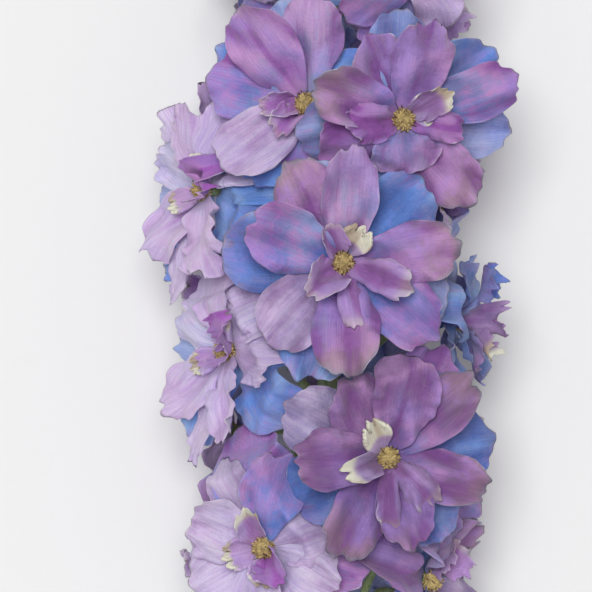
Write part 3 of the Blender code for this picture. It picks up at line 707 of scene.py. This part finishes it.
# Where the solid petals have their corners: the share along them and across them.
FINE_CORNERS = ((0.64, 1.0), (0.88, 1.0), (0.985, 0.9))
PLAIN_CORNERS = ((0.42, 1.0), (0.82, 1.0), (0.985, 0.85))
FINE_GRID = (38, 29)
SIDE_GRID = (28, 19)
PLAIN_GRID = (20, 13)
PETAL_THICKNESS = 0.24
STUB_THICKNESS = 1.2
STUB_LARGER = {"cream": 1.75, "tipped": 1.45}
STUB_LAID = 0.6
SPREAD_TURN = 1.35
MIDDLE_SHARE = 0.5
CLAW_WIDTH = 0.17
BROADER = {"sepal": 1.07, "petal": 1.07, "inner": 1.30, "curl": 1.40, "stub": 1.07}
GROOVE_WIDTH = 1.2
PLEAT_DEPTH = 0.09
LOBE_DEPTH = 0.45
LOBE_PUFF = 0.9
# How frilled each layer's margin is, how deep its middle groove is, and how far its sides roll up, or
# down where it is below zero.
FRILLINESS = {"sepal": 0.8, "petal": 1.05, "inner": 2.1, "curl": 2.1, "stub": 0.5}
GROOVE_DEPTHS = {"sepal": 0.40, "petal": 0.45, "inner": 1.5, "curl": 1.9, "stub": 0.3}
FURLS = {"sepal": (-0.25, 0.30), "petal": (-0.40, 0.50), "inner": (0.70, 1.50), "curl": (-1.75, -0.95),
         "stub": (0.10, 0.40)}

# How each kind of petal is coloured: blue at its claw, middle and tip, magenta at its claw and tip,
# dusk at its tip, frost at its margin, cream at its tip, and how pale it is.
COLOURS = {
    "azure": (0.95, 1.00, 0.70, 0.00, 0.00, 0.00, 0.25, 0.0, 0.05),
    "sky": (0.90, 0.95, 0.85, 0.00, 0.00, 0.05, 0.45, 0.0, 0.35),
    "teal": (0.90, 0.85, 0.75, 0.00, 0.00, 0.45, 0.20, 0.0, 0.05),
    "ice": (0.70, 0.60, 0.50, 0.00, 0.00, 0.00, 0.60, 0.0, 0.85),
    "violet": (0.80, 0.42, 0.18, 0.05, 0.15, 0.10, 0.25, 0.0, 0.05),
    "lilac": (0.62, 0.22, 0.05, 0.05, 0.05, 0.10, 0.45, 0.0, 0.25),
    "mauve": (0.35, 0.05, 0.00, 0.20, 0.05, 0.35, 0.30, 0.0, 0.10),
    "dusky": (0.40, 0.12, 0.00, 0.10, 0.00, 0.85, 0.25, 0.0, 0.05),
    "pink": (0.30, 0.08, 0.00, 0.12, 0.12, 0.26, 0.50, 0.0, 0.68),
    "pale": (0.50, 0.22, 0.05, 0.00, 0.05, 0.15, 0.70, 0.0, 0.85),
    "wine": (0.10, 0.05, 0.00, 0.55, 0.45, 0.05, 0.45, 0.0, 0.05),
    "frilled": (0.05, 0.00, 0.00, 0.62, 0.26, 0.05, 1.00, 0.42, 0.22),
    "tipped": (0.05, 0.00, 0.00, 0.30, 0.10, 0.00, 0.60, 0.85, 0.40),
    "cream": (0.00, 0.00, 0.00, 0.25, 0.00, 0.00, 0.30, 1.00, 0.60),
}
LILAC = (0.430, 0.265, 0.690)
ROSE = (0.560, 0.290, 0.610)
AZURE = (0.125, 0.320, 0.860)
HAZE = (0.270, 0.460, 0.840)
MAGENTA = (0.450, 0.125, 0.560)
DUSK = (0.560, 0.345, 0.455)
EDGE_GREEN = (0.330, 0.320, 0.390)
# A pale frost colour, for the petals' pale margins and for their painted sheen specks.
FROST_AND_SHEEN = (0.760, 0.660, 0.840)
PALE = (0.830, 0.730, 0.950)
CREAM = (0.880, 0.850, 0.690)
CREAM_PAINTED_SHADE = (0.560, 0.450, 0.330)
# The colour that deepens a petal's own tone, and that paints shade into its creases.
DEEP_TONE_AND_FOLD_SHADE = (0.46, 0.41, 0.49)
VEIN_DARK = (0.82, 0.79, 0.89)
VEIN_LIGHT = (1.08, 1.09, 1.05)
PETAL_ATTRIBUTES = ("blue", "magenta", "dusk", "green", "frost", "cream", "pale", "back", "depth", "folds")


def half_width(t):
    """Half of a petal's width along it, as a share of its full half width: a claw, then broad and round."""
    return 0.11 * (1.0 - t) + 1.42 * t ** 0.95 * np.sqrt(np.maximum(0.0, 1.0 - t ** 4.2))


class Petal:
    """A petal in its bloom's own frame, with the unevenness that it grew with."""

    def __init__(self, bloom, angle, length, width, layer, colour, sizes, upper):
        start, self.claw, rise, tip_rise, self.cup, order, upper_start = sizes
        self.bloom = bloom
        self.start = start + upper_start * upper
        self.order = order + upper
        self.drop = SEPAL_DROP * (layer == "sepal") + LOWER_DROP * (1 - upper) * (layer in ("sepal", "petal"))
        self.layer = layer
        self.angle = math.radians(angle)
        self.length = length * bloom.size
        self.width = width * bloom.size
        self.larger = STUB_LARGER[colour] if layer == "stub" else 1.0
        self.rise = math.radians(rise + UPPER_RISE * upper)
        self.bend = math.radians(tip_rise - rise)
        self.wave = EDGE_WAVE * self.width * (1.0 - 2.0 * upper)
        self.colour = COLOURS[colour]
        self.reach = 1.0
        draw = random.Random(f"{bloom.name} {angle} {layer}")
        self.phases = [draw.uniform(0.0, 2.0 * math.pi) for _ in range(6)]
        frilly = FRILLINESS[layer] * (1.0 + TORN_FRILLS * bloom.torn)
        self.widest = draw.uniform(0.54, 0.68)
        self.ruffle = draw.uniform(0.7, 1.6) * frilly
        self.frills = draw.uniform(8.0, 13.0)
        self.billow = draw.uniform(0.8, 1.7) * frilly ** 0.5
        self.roll = draw.uniform(0.2, 1.4)
        self.ragged = draw.uniform(0.010, 0.024) * frilly
        self.torn = draw.uniform(0.3, 1.0) * bloom.torn if layer in ("petal", "inner", "curl") else 0.0
        self.fingers = draw.uniform(6.0, 9.0)
        self.notch = draw.choice((0.0, 0.0, 0.02, 0.05))
        self.notch_at = draw.uniform(-0.3, 0.3)
        self.point = draw.uniform(-0.01, 0.05)
        self.bow = draw.uniform(-0.07, 0.07)
        self.furls = draw.uniform(*FURLS[layer]), draw.uniform(*FURLS[layer])
        if not upper and layer in ("sepal", "petal"):
            self.roll *= LOWER_ROLL
            self.furls = [min(furl, LOWER_FURL) for furl in self.furls]
        self.ripples = [(draw.uniform(4.5, 13.0), math.radians(draw.uniform(-35.0, 35.0)),
                         draw.uniform(0.0, 6.3)) for _ in range(RIPPLE_COUNT)]
        self.creases = [(draw.uniform(-0.75, 0.75), draw.uniform(-1.25, 0.70), draw.uniform(0.7, 1.6))
                        for _ in range(CREASE_COUNT)]
        self.number = draw.uniform(0.0, 100.0)
        self.tone = draw.uniform(-0.12, 0.12) - INNER_LIGHTER * (layer not in ("sepal", "petal"))

    def local(self, t, side, spread, grown=1.0):
        """Points a share t along the petal and a distance to its side: along it, across it and outward."""
        length = self.length * self.reach * grown
        lean = self.rise + self.bend * t
        out = self.claw + length * (np.sin(lean) - math.sin(self.rise)) / self.bend
        high = self.start + length * (math.cos(self.rise) - np.cos(lean)) / self.bend
        lift = self.cup * np.abs(side) * np.abs(spread) + self.wave * spread * np.sin(9.0 * t)
        return out - lift * np.sin(lean), side + 0.0 * out, high + lift * np.cos(lean), lean

    def turned(self, out, side, high):
        """Local points of a petal that is turned to its angle."""
        c, s = math.cos(self.angle), math.sin(self.angle)
        return np.stack((out * c - side * s, out * s + side * c, high), axis=-1)

    def corners(self, fine):
        """World points of the solid petal's own corners, which lie on the CAD node if this is its reach."""
        stations = FINE_CORNERS if fine else PLAIN_CORNERS
        t = np.array([station[0] for station in stations] * 2)
        v = np.array([station[1] for station in stations] + [-station[1] for station in stations])
        side = 0.5 * self.width * half_width(t) * v
        out, side, high, _ = self.local(t, side, v)
        placed = self.bloom.place(self.bloom.settled(self.order, self.turned(out, side, high), 0.0))
        placed[:, 2] = np.maximum(placed[:, 2], 0.0)
        return placed

    def find_reach(self, tree, fine):
        """Sets the share of its length that the solid petal kept; False where the solid has no such petal."""
        best = (FOUND_WITHIN, None)
        for times in range(SHORTEN_TIMES):
            self.reach = SHORTEN_STEP ** times
            off = max(tree.find_nearest(Vector(point * METRE))[3] for point in self.corners(fine)) / METRE
            best = min(best, (off, self.reach), key=lambda found: found[0])
        self.reach = best[1] or 1.0
        return best[1] is not None

    def surface(self, grid):
        """The grown surface as a grid of world points, with its shares along and across and at the margin."""
        layer = self.layer
        if layer == "stub":
            self.rise *= STUB_LAID
        elif layer == "curl":
            self.bend *= CURL_EASED
        s = np.linspace(0.0, 1.0, grid[0])[:, None]
        v = np.sin(SPREAD_TURN * np.linspace(-1.0, 1.0, grid[1]))[None, :] / math.sin(SPREAD_TURN)
        a = self.phases
        end = np.clip((s - self.widest) / (1.0 - self.widest), 0.0, 1.0)
        rim = (np.abs(v) ** 6 + end ** 6) ** (1.0 / 6.0)
        t = np.where(s < self.widest, s, self.widest + (1.0 - self.widest) * end * (
            1.0 - end * (1.0 - np.sqrt(1.0 - 0.5 * v ** 2))))
        around = np.arctan2(v * np.sqrt(1.0 - 0.5 * end ** 2), (t - MIDDLE_SHARE) / (1.0 - MIDDLE_SHARE))
        tip = self.point * np.exp(-(v / 0.3) ** 2) - self.notch * np.exp(-((v - self.notch_at) / 0.2) ** 2)
        teeth = self.ragged * (np.sin(7.0 * around + a[0]) + 0.6 * np.sin(15.0 * around + a[1]))
        t = t + end ** 4 * (tip + teeth)
        gaps = np.maximum(0.0, np.sin(self.fingers * v + a[3])) ** 1.5 * (0.6 + 0.4 * np.sin(2.3 * v + a[4]))
        t = t - end ** 3 * self.torn * gaps
        if layer == "stub":
            t = t * (1.0 - LOBE_DEPTH * end ** 2 * (1.0 - np.abs(np.cos(1.5 * math.pi * v)) ** 0.7))
        t = np.clip(t, 0.0, 1.04)
        spread = np.sin(0.5 * math.pi * np.clip(s / self.widest, 0.0, 1.0)) ** 0.95
        half = 0.5 * self.width * BROADER[layer] * self.larger * (CLAW_WIDTH + (1.0 - CLAW_WIDTH) * spread)
        across = v * np.sqrt(1.0 - 0.5 * end ** 2)
        flat = half * across * (1.0 + self.ragged * 1.5 * np.abs(v) ** 3 * np.sin(8.0 * around + a[2]))
        along = t * self.length
        grow = np.clip(t / 0.3, 0.0, 1.0)
        furl = across * np.where(v < 0.0, *self.furls) * grow
        side = flat * np.sinc(furl / math.pi)
        out, side, high, lean = self.local(t, side, across, self.larger ** 0.5)
        margin = rim ** 3 * grow
        fine = np.zeros_like(out)
        for wave, slant, phase in self.ripples:
            crossed = flat * math.cos(slant) + along * math.sin(slant)
            fine = fine + RIPPLE_DEPTH * wave * np.sin(2.0 * math.pi * crossed / wave + phase)
        fine = fine * (0.45 + 0.55 * rim ** 2)
        for place, deep, wide in self.creases:
            fine = fine + deep * np.exp(-np.abs(flat - place * half) / wide) * (1.0 - 0.5 * s)
        groove = GROOVE_DEPTHS[layer] * np.exp(-(flat / GROOVE_WIDTH) ** 2) * (1.0 - s) ** 0.6
        fine = fine * grow - groove * grow
        swell = self.billow * grow * (
            0.55 * np.sin(2.0 * math.pi * (along / 21.0 + flat / 29.0) + a[0])
            + 0.40 * np.sin(2.0 * math.pi * (flat / 10.5 - along / 40.0) + a[1]))
        uneven = 0.65 + 0.35 * np.sin(2.0 * around + a[3])
        swell = swell + margin * self.ruffle * uneven * (0.50 * np.sin(self.frills * around + a[4])
                                                           + 0.35 * np.sin(1.9 * self.frills * around + a[5]))
        rise = swell + self.roll * margin * np.cos(around - a[3])
        rise = rise + PLEAT_DEPTH * np.sin(5.0 * math.pi * v + a[2]) * (1.0 - s) * s * 4.0 * (1.0 - rim ** 2)
        if layer == "stub":
            rise = rise + LOBE_PUFF * end * np.abs(np.cos(1.5 * math.pi * v))
        rise = (rise + fine) * min(1.0, self.width / 14.0) - self.drop * grow
        rise = rise + flat * np.sin(0.5 * furl) * np.sinc(furl / (2.0 * math.pi))
        side = side + self.bow * self.length * t ** 2
        local = self.turned(out - rise * np.sin(lean), side, high + rise * np.cos(lean))
        eased = self.bloom.settled(self.order, local, SOFT_TURN)
        share = np.clip((t - 0.10) / 0.22, 0.0, 1.0)[..., None] ** 2
        placed = self.bloom.place(local + (eased - local) * share)
        placed[..., 2] = -soft_lower(-placed[..., 2], np.full(placed.shape[:2], -LOWEST), 1.0)
        # The last value is the fold relief, from which shade is painted into the petal's valleys.
        return placed, s + 0.0 * v, v + 0.0 * s, rim + 0.0 * t, fine + SWELL_SHARE * swell

    def colouring(self, s, rim, fine):
        """How much of each pigment the petal has at each point, how deep its colour is there, and how much
        shade is painted into its creases.
        """
        claw, middle, tip, wine_claw, wine_tip, dusk, frost, cream, pale = self.colour
        near, far = (1.0 - s) ** 2, s ** 2
        wine = wine_claw * near + wine_tip * far
        # Inner and curled petals get painted shade: more magenta down in their creases.
        if self.layer in ("inner", "curl"):
            wine = wine + 1.2 * np.clip(-0.4 * fine - 0.05, 0.0, 0.5)
        creamy = cream * np.clip((s - 0.62) / 0.28, 0.0, 1.0)
        if cream == 1.0:
            creamy = np.clip((s - 0.30) / 0.25, 0.0, 1.0)
        # The last share is painted shade, high in the valleys of the petal's creases and ripples.
        return {"blue": claw * near + middle * 2.0 * s * (1.0 - s) + tip * far, "magenta": wine,
                "dusk": dusk * s ** 2.2, "green": max(0.0, dusk - 0.2) * rim ** 5 * s ** 2.5,
                "frost": frost * rim ** 14 * s ** 0.5, "cream": creamy, "pale": pale + 0.0 * s,
                "depth": np.clip(self.bloom.depth + self.tone, -0.4, 1.0) + 0.0 * s,
                "folds": np.clip(0.5 - 0.5 * fine, 0.0, 1.0)}


def petal_finish(name, roughness):
    """Velvety skin: its pigments and the shade painted into its creases from its own attributes, with veins
    that run out from its claw.
    """
    finish = Finish(name, Roughness=roughness, Subsurface_Weight=0.22, Subsurface_Scale=0.0012,
                    Subsurface_Radius=(1.0, 0.7, 1.0), Specular_IOR_Level=0.32,
                    Sheen_Weight=0.22, Sheen_Roughness=0.45)
    mix, shape, noise, plus, times = finish.mix, finish.shape, finish.noise, finish.plus, finish.times
    own = {key: finish.add("Attribute", attribute_name=key).outputs["Fac"] for key in PETAL_ATTRIBUTES}
    grain = finish.add("UVMap", uv_map="petal").outputs["UV"]
    veins = noise(finish.stretched(grain, (44.0, 2.6, 1.0)), 1.0, 5.0, 0.65)
    streaks = shape(noise(finish.stretched(grain, (7.0, 1.3, 1.0), (3.0, 7.0, 0.0)), 1.0, 4.0), 0.34, 0.66)
    clouds = shape(noise(finish.place, 120.0, 6.0, 0.68), 0.36, 0.64)
    elsewhere = finish.stretched(finish.place, (1.0, 1.0, 1.0), (0.3, 0.1, 0.2))
    washes = shape(noise(elsewhere, 55.0), 0.38, 0.62)
    specks = noise(finish.place, 1500.0, 2.0)

    uneven = plus(plus(times(clouds, 0.42), times(streaks, 0.20)), -0.31)
    blue = shape(plus(own["blue"], uneven), 0.10, 0.90)
    colour = mix(blue, mix(washes, LILAC, ROSE), mix(washes, AZURE, HAZE))
    # Painted shade: magenta laid into the valleys of the creases, where the petal is not blue.
    painted_fold_magenta = times(shape(own["folds"], 0.52, 0.95), finish.math("SUBTRACT", 0.62, blue))
    magenta = plus(own["magenta"], finish.math("MAXIMUM", painted_fold_magenta, 0.0))
    colour = mix(finish.math("MINIMUM", magenta, 1.0), colour, MAGENTA)
    colour = mix(shape(plus(own["dusk"], uneven), 0.12, 0.95), colour, DUSK)
    colour = mix(shape(plus(own["green"], times(uneven, 0.5)), 0.1, 0.7), colour, EDGE_GREEN)
    light = times(plus(own["pale"], times(own["back"], 0.35)), shape(streaks, 0.0, 1.0, 0.68, 0.98))
    colour = mix(light, colour, PALE)
    # Frost is the pale margin of the petal's own colour; the fine bright specks over the whole skin are
    # partly dust and partly painted sheen of its velvet hairs.
    frost = plus(times(own["frost"], shape(clouds, 0.1, 0.9, 0.15, 1.25)), times(specks, 0.16))
    colour = mix(shape(frost, 0.12, 0.95), colour, FROST_AND_SHEEN)

    # Deepened by the bloom's own depth and random clouds of tone, and by shade painted into the creases.
    shade = plus(own["depth"], times(plus(clouds, -0.5), 0.5))
    shade = plus(shade, times(plus(own["folds"], -0.5), 1.15))
    colour = mix(shape(shade, -0.3, 1.5), colour, DEEP_TONE_AND_FOLD_SHADE, "MULTIPLY")
    colour = mix(1.0, colour, mix(shape(veins, 0.30, 0.66), VEIN_DARK, VEIN_LIGHT), "MULTIPLY")
    # Cream ends darkened in their creases, as painted shade.
    cream = mix(shape(own["folds"], 0.5, 1.0), CREAM, CREAM_PAINTED_SHADE)
    colour = mix(shape(own["cream"], 0.2, 0.8), colour, cream)
    return finish.done(colour, plus(veins, plus(times(clouds, 0.6), specks)), 0.8, 0.0003)


def both_sides(values):
    """A grid's values for the front of a closed sheet, and for its back inside the rim."""
    return np.concatenate([side.reshape(-1, *values.shape[2:]) for side in (values, values[1:-1, 1:-1])])


def whorl(bloom, node, name, sizes, finish, slot):
    """One floret's sepals or petals as one piece that stands for their CAD node."""
    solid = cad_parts[node].data
    solid.calc_loop_triangles()
    tree = BVHTree.FromPolygons([v.co for v in solid.vertices],
                                [tuple(t.vertices) for t in solid.loop_triangles])
    with_own_eye = bloom.order < BLOOMS_WITH_OWN_EYE
    grid = FINE_GRID if with_own_eye else SIDE_GRID if bloom.order < BLOOMS_IN_VIEW else PLAIN_GRID
    rows = [(*row[:3], layer, row[3]) for layer in sizes for row in bloom.layers.get(layer, ())]
    points, faces, uv, floats = [], [], [], {}
    count, turns = 0, {}
    for angle, length, width, layer, colour in sorted(rows, key=lambda row: row[0] % 360.0):
        upper = turns.get(layer, 0) % 2
        turns[layer] = turns.get(layer, 0) + 1
        petal = Petal(bloom, angle, length, width, layer, colour, sizes[layer], upper)
        if not petal.find_reach(tree, with_own_eye and layer == "petal"):
            continue
        # The fold relief that comes with the surface serves only to paint shade into the creases.
        middle, s, v, rim, folds = petal.surface(grid)
        blade_points, quads = closed_sheet(middle, STUB_THICKNESS if layer == "stub" else PETAL_THICKNESS)
        for key, values in petal.colouring(s, rim, folds).items():
            floats.setdefault(key, []).append(both_sides(values))
        floats.setdefault("back", []).append(np.repeat((0.0, 1.0), (s.size, len(blade_points) - s.size)))
        uv.append(both_sides(np.stack((v + petal.number, s), axis=-1)))
        faces.append(quads + count)
        points.append(blade_points)
        count += len(blade_points)
    piece = grown(name, np.concatenate(points), np.concatenate(faces), finish, slot,
                  {key: np.concatenate(values) for key, values in floats.items()}, np.concatenate(uv))
    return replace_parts(piece, node)


sepal_skin = petal_finish("sepal_velvet", 0.50)
for bloom in blooms:
    whorl(bloom, bloom.name + "_sepals", bloom.name + "_blue_sepals", SEPAL_SIZES, sepal_skin, "blue_sepal")


# THE PETALS
# Over the sepals lie lilac to mauve petals in layers: broad ones between the sepals, and smaller
# ones near the eye that are cupped, arched or folded, with frosted frills or fleshy cream ends.

PETAL_SIZES = {
    "petal": (0.4, 2.1, 23.0, 5.0, 0.12, 2.0, 1.1),
    "inner": (1.2, 2.3, 60.0, 22.0, 0.34, 4.0, 0.3),
    "curl": (1.2, 2.3, 62.0, -26.0, 0.20, 4.0, 0.3),
    "stub": (1.2, 2.4, 60.0, 54.0, 0.45, 4.0, 0.0),
}

petal_skin = petal_finish("petal_velvet", 0.54)
for bloom in blooms:
    whorl(bloom, bloom.name + "_petals", bloom.name + "_lilac_petals", PETAL_SIZES, petal_skin, "lilac_petal")


# THE STAMENS
# In the middle of each floret stands a tuft of short filaments with small golden anthers, packed
# into a low mound. Some round its edge have ripened dark brown.

EYE_START = 0.9
EYE_TOP = 6.0
EYE_RADIUS = 3.2
ANTHERS_ABOVE = 0.8
DRAWN_IN = 0.75
ANTHER_LENGTH = 0.85
ANTHER_SPACING = 0.66
DARK_SPACING = 1.15
DARK_BAND = 0.42
ANTHER_SIDES = 7
ANTHER_RINGS = 6
GOLD_SHAPE = (0.36, 0.36, 1.0)
DARK_SHAPE = (0.27, 0.27, 1.75)
ANTHER_TILT = (0.7, 0.7, 3.1)
ANTHER_SIZES = (0.6, 1.3)
MOST_CROWDED = 6e6
DOME_ROWS = 7
DOME_SIDES = 18
ANTHER_GOLD = (0.66, 0.50, 0.20)
ANTHER_OLIVE = (0.34, 0.24, 0.09)
ANTHER_RIPE = (0.150, 0.070, 0.045)
ANTHER_BROWN = (0.050, 0.022, 0.018)


def anther_finish(name, light, shade):
    finish = Finish(name, Roughness=0.62, Subsurface_Weight=0.1)
    pollen = finish.noise(finish.place, 2600.0)
    patches = finish.noise(finish.place, 700.0)
    colour = finish.mix(finish.shape(patches, 0.35, 0.65), shade, light)
    return finish.done(colour, pollen, 0.5, 0.0001)


def tuft_tree():
    """Geometry nodes that pack a low mound with anthers, gold all over and dark brown round its flank."""
    growth = Growth("stamen_tuft", {
        "Anther Length": "Float", "Gold Spacing": "Float", "Dark Spacing": "Float", "Seed": "Int",
        "Gold": "Material", "Dark": "Material"})
    tree, add, given = growth.tree, growth.add, growth.given
    parts = [given["Geometry"]]
    for finish, density, shape in (("Gold", 1.0, GOLD_SHAPE), ("Dark", growth.named("edge"), DARK_SHAPE)):
        spots = add("DistributePointsOnFaces", {
            "Mesh": given["Geometry"], "Distance Min": given[finish + " Spacing"],
            "Density Max": MOST_CROWDED, "Density Factor": density, "Seed": given["Seed"]},
            distribute_method="POISSON")
        anther = add("MeshUVSphere", {"Segments": ANTHER_SIDES, "Rings": ANTHER_RINGS,
                                      "Radius": given["Anther Length"]})["Mesh"]
        shaped = add("Transform", {"Geometry": anther, "Scale": shape})["Geometry"]
        tilt = added(tree, "FunctionNodeRandomValue", {
            "Min": tuple(-turn for turn in ANTHER_TILT), "Max": ANTHER_TILT, "Seed": given["Seed"]},
            data_type="FLOAT_VECTOR").outputs["Value"]
        turned = added(tree, "FunctionNodeRotateEuler", {"Rotation": spots["Rotation"], "Rotate By": tilt},
                       space="LOCAL").outputs["Rotation"]
        size = added(tree, "FunctionNodeRandomValue", {2: ANTHER_SIZES[0], 3: ANTHER_SIZES[1],
                                                       "Seed": given["Seed"]}).outputs[1]
        copies = add("InstanceOnPoints", {"Points": spots["Points"], "Instance": shaped, "Rotation": turned,
                                          "Scale": size})["Instances"]
        parts.append(growth.painted(copies, given[finish]))
    joined = tree.nodes.new("GeometryNodeJoinGeometry")
    for part in parts:
        tree.links.new(part, joined.inputs["Geometry"])
    return growth.done(joined.outputs["Geometry"])


gold_anthers = anther_finish("gold_anthers", ANTHER_GOLD, ANTHER_OLIVE)
brown_anthers = anther_finish("brown_anthers", ANTHER_RIPE, ANTHER_BROWN)
tufts = tuft_tree()
for bloom in blooms:
    size = 0.5 + 0.5 * bloom.size
    rings, edge = [], []
    for row in range(DOME_ROWS):
        t = row / (DOME_ROWS - 1.0)
        reach = EYE_RADIUS * size * math.cos(0.48 * math.pi * t) * (DRAWN_IN if row == 0 else 1.0)
        high = EYE_START + (EYE_TOP - EYE_START - ANTHERS_ABOVE) * math.sin(0.5 * math.pi * t)
        rings.append(ring_round(bloom.middle + bloom.axis * high, bloom.right, bloom.up, DOME_SIDES,
                                lambda turn: reach))
        edge += [max(0.0, 1.0 - abs(t - DARK_BAND) / DARK_BAND)] * DOME_SIDES
    points, faces = closed_rings(rings)
    mound = mesh_of("mound", points, [], faces, {"edge": edge + [0.0, 0.0]})
    mound.materials.append(gold_anthers)
    tuft = tufts.make(bloom.name + "_stamens", mound, {
        "Anther Length": ANTHER_LENGTH * METRE, "Gold Spacing": ANTHER_SPACING * METRE,
        "Dark Spacing": DARK_SPACING * METRE, "Seed": bloom.order + 1, "Gold": gold_anthers,
        "Dark": brown_anthers}, "gold_stamens")
    if bloom.order < BLOOMS_WITH_OWN_EYE:
        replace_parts(tuft, bloom.name + "_eye")


# THE STUDIO
# A plain pale table under the spike and wide soft light from above, with a camera that looks
# straight down, as the photograph does.

# How wide the picture is at a plane of this height, and where its middle lies.
VIEW_WIDTH = 171.7
VIEW_PLANE = 74.0
VIEW_MIDDLE = (-8.86, -2.0)
VIEW_LENS = 250.0
SENSOR = 36.0
FLOOR_SIZE = 4000.0
FLOOR_COLOUR = (0.93, 0.93, 0.925)
SKY_LIGHT = 0.34
SUN_LIGHT = 2.05
SUN_TILT = (-9.0, -4.0)
SUN_SPREAD = 24.0

floor_finish = Finish("pale_table", Roughness=0.9)
floor_grain = floor_finish.noise(floor_finish.place, 300.0)
floor_tone = floor_finish.mix(floor_grain, tuple(0.985 * c for c in FLOOR_COLOUR), FLOOR_COLOUR)
far = 0.5 * FLOOR_SIZE
floor_corners = [(-far, -far, 0.0), (far, -far, 0.0), (far, far, 0.0), (-far, far, 0.0)]
floor = linked("table_top", mesh_of("table_top", floor_corners, [], [(0, 1, 2, 3)], {}))
floor.data.materials.append(floor_finish.done(floor_tone, floor_grain, 0.02, 0.0001))

sun_data = bpy.data.lights.new("overhead_light", "SUN")
sun_data.energy = SUN_LIGHT
sun_data.angle = math.radians(SUN_SPREAD)
sun = linked("overhead_light", sun_data)
sun.rotation_euler = [math.radians(turn) for turn in SUN_TILT] + [0.0]
sky = bpy.data.worlds.new("soft_sky")
sky.use_nodes = True
background = sky.node_tree.nodes["Background"].inputs
background["Color"].default_value = (1.0, 1.0, 1.0, 1.0)
background["Strength"].default_value = SKY_LIGHT
bpy.context.scene.world = sky

lens = bpy.data.cameras.new("camera")
lens.lens = VIEW_LENS
lens.sensor_width = SENSOR
lens.clip_start = 0.05
lens.clip_end = 10.0
camera = linked("camera", lens)
view_distance = VIEW_WIDTH * VIEW_LENS / SENSOR
camera.location = Vector((*VIEW_MIDDLE, VIEW_PLANE + view_distance)) * METRE
bpy.context.scene.camera = camera
bpy.context.scene.view_settings.view_transform = "Standard"
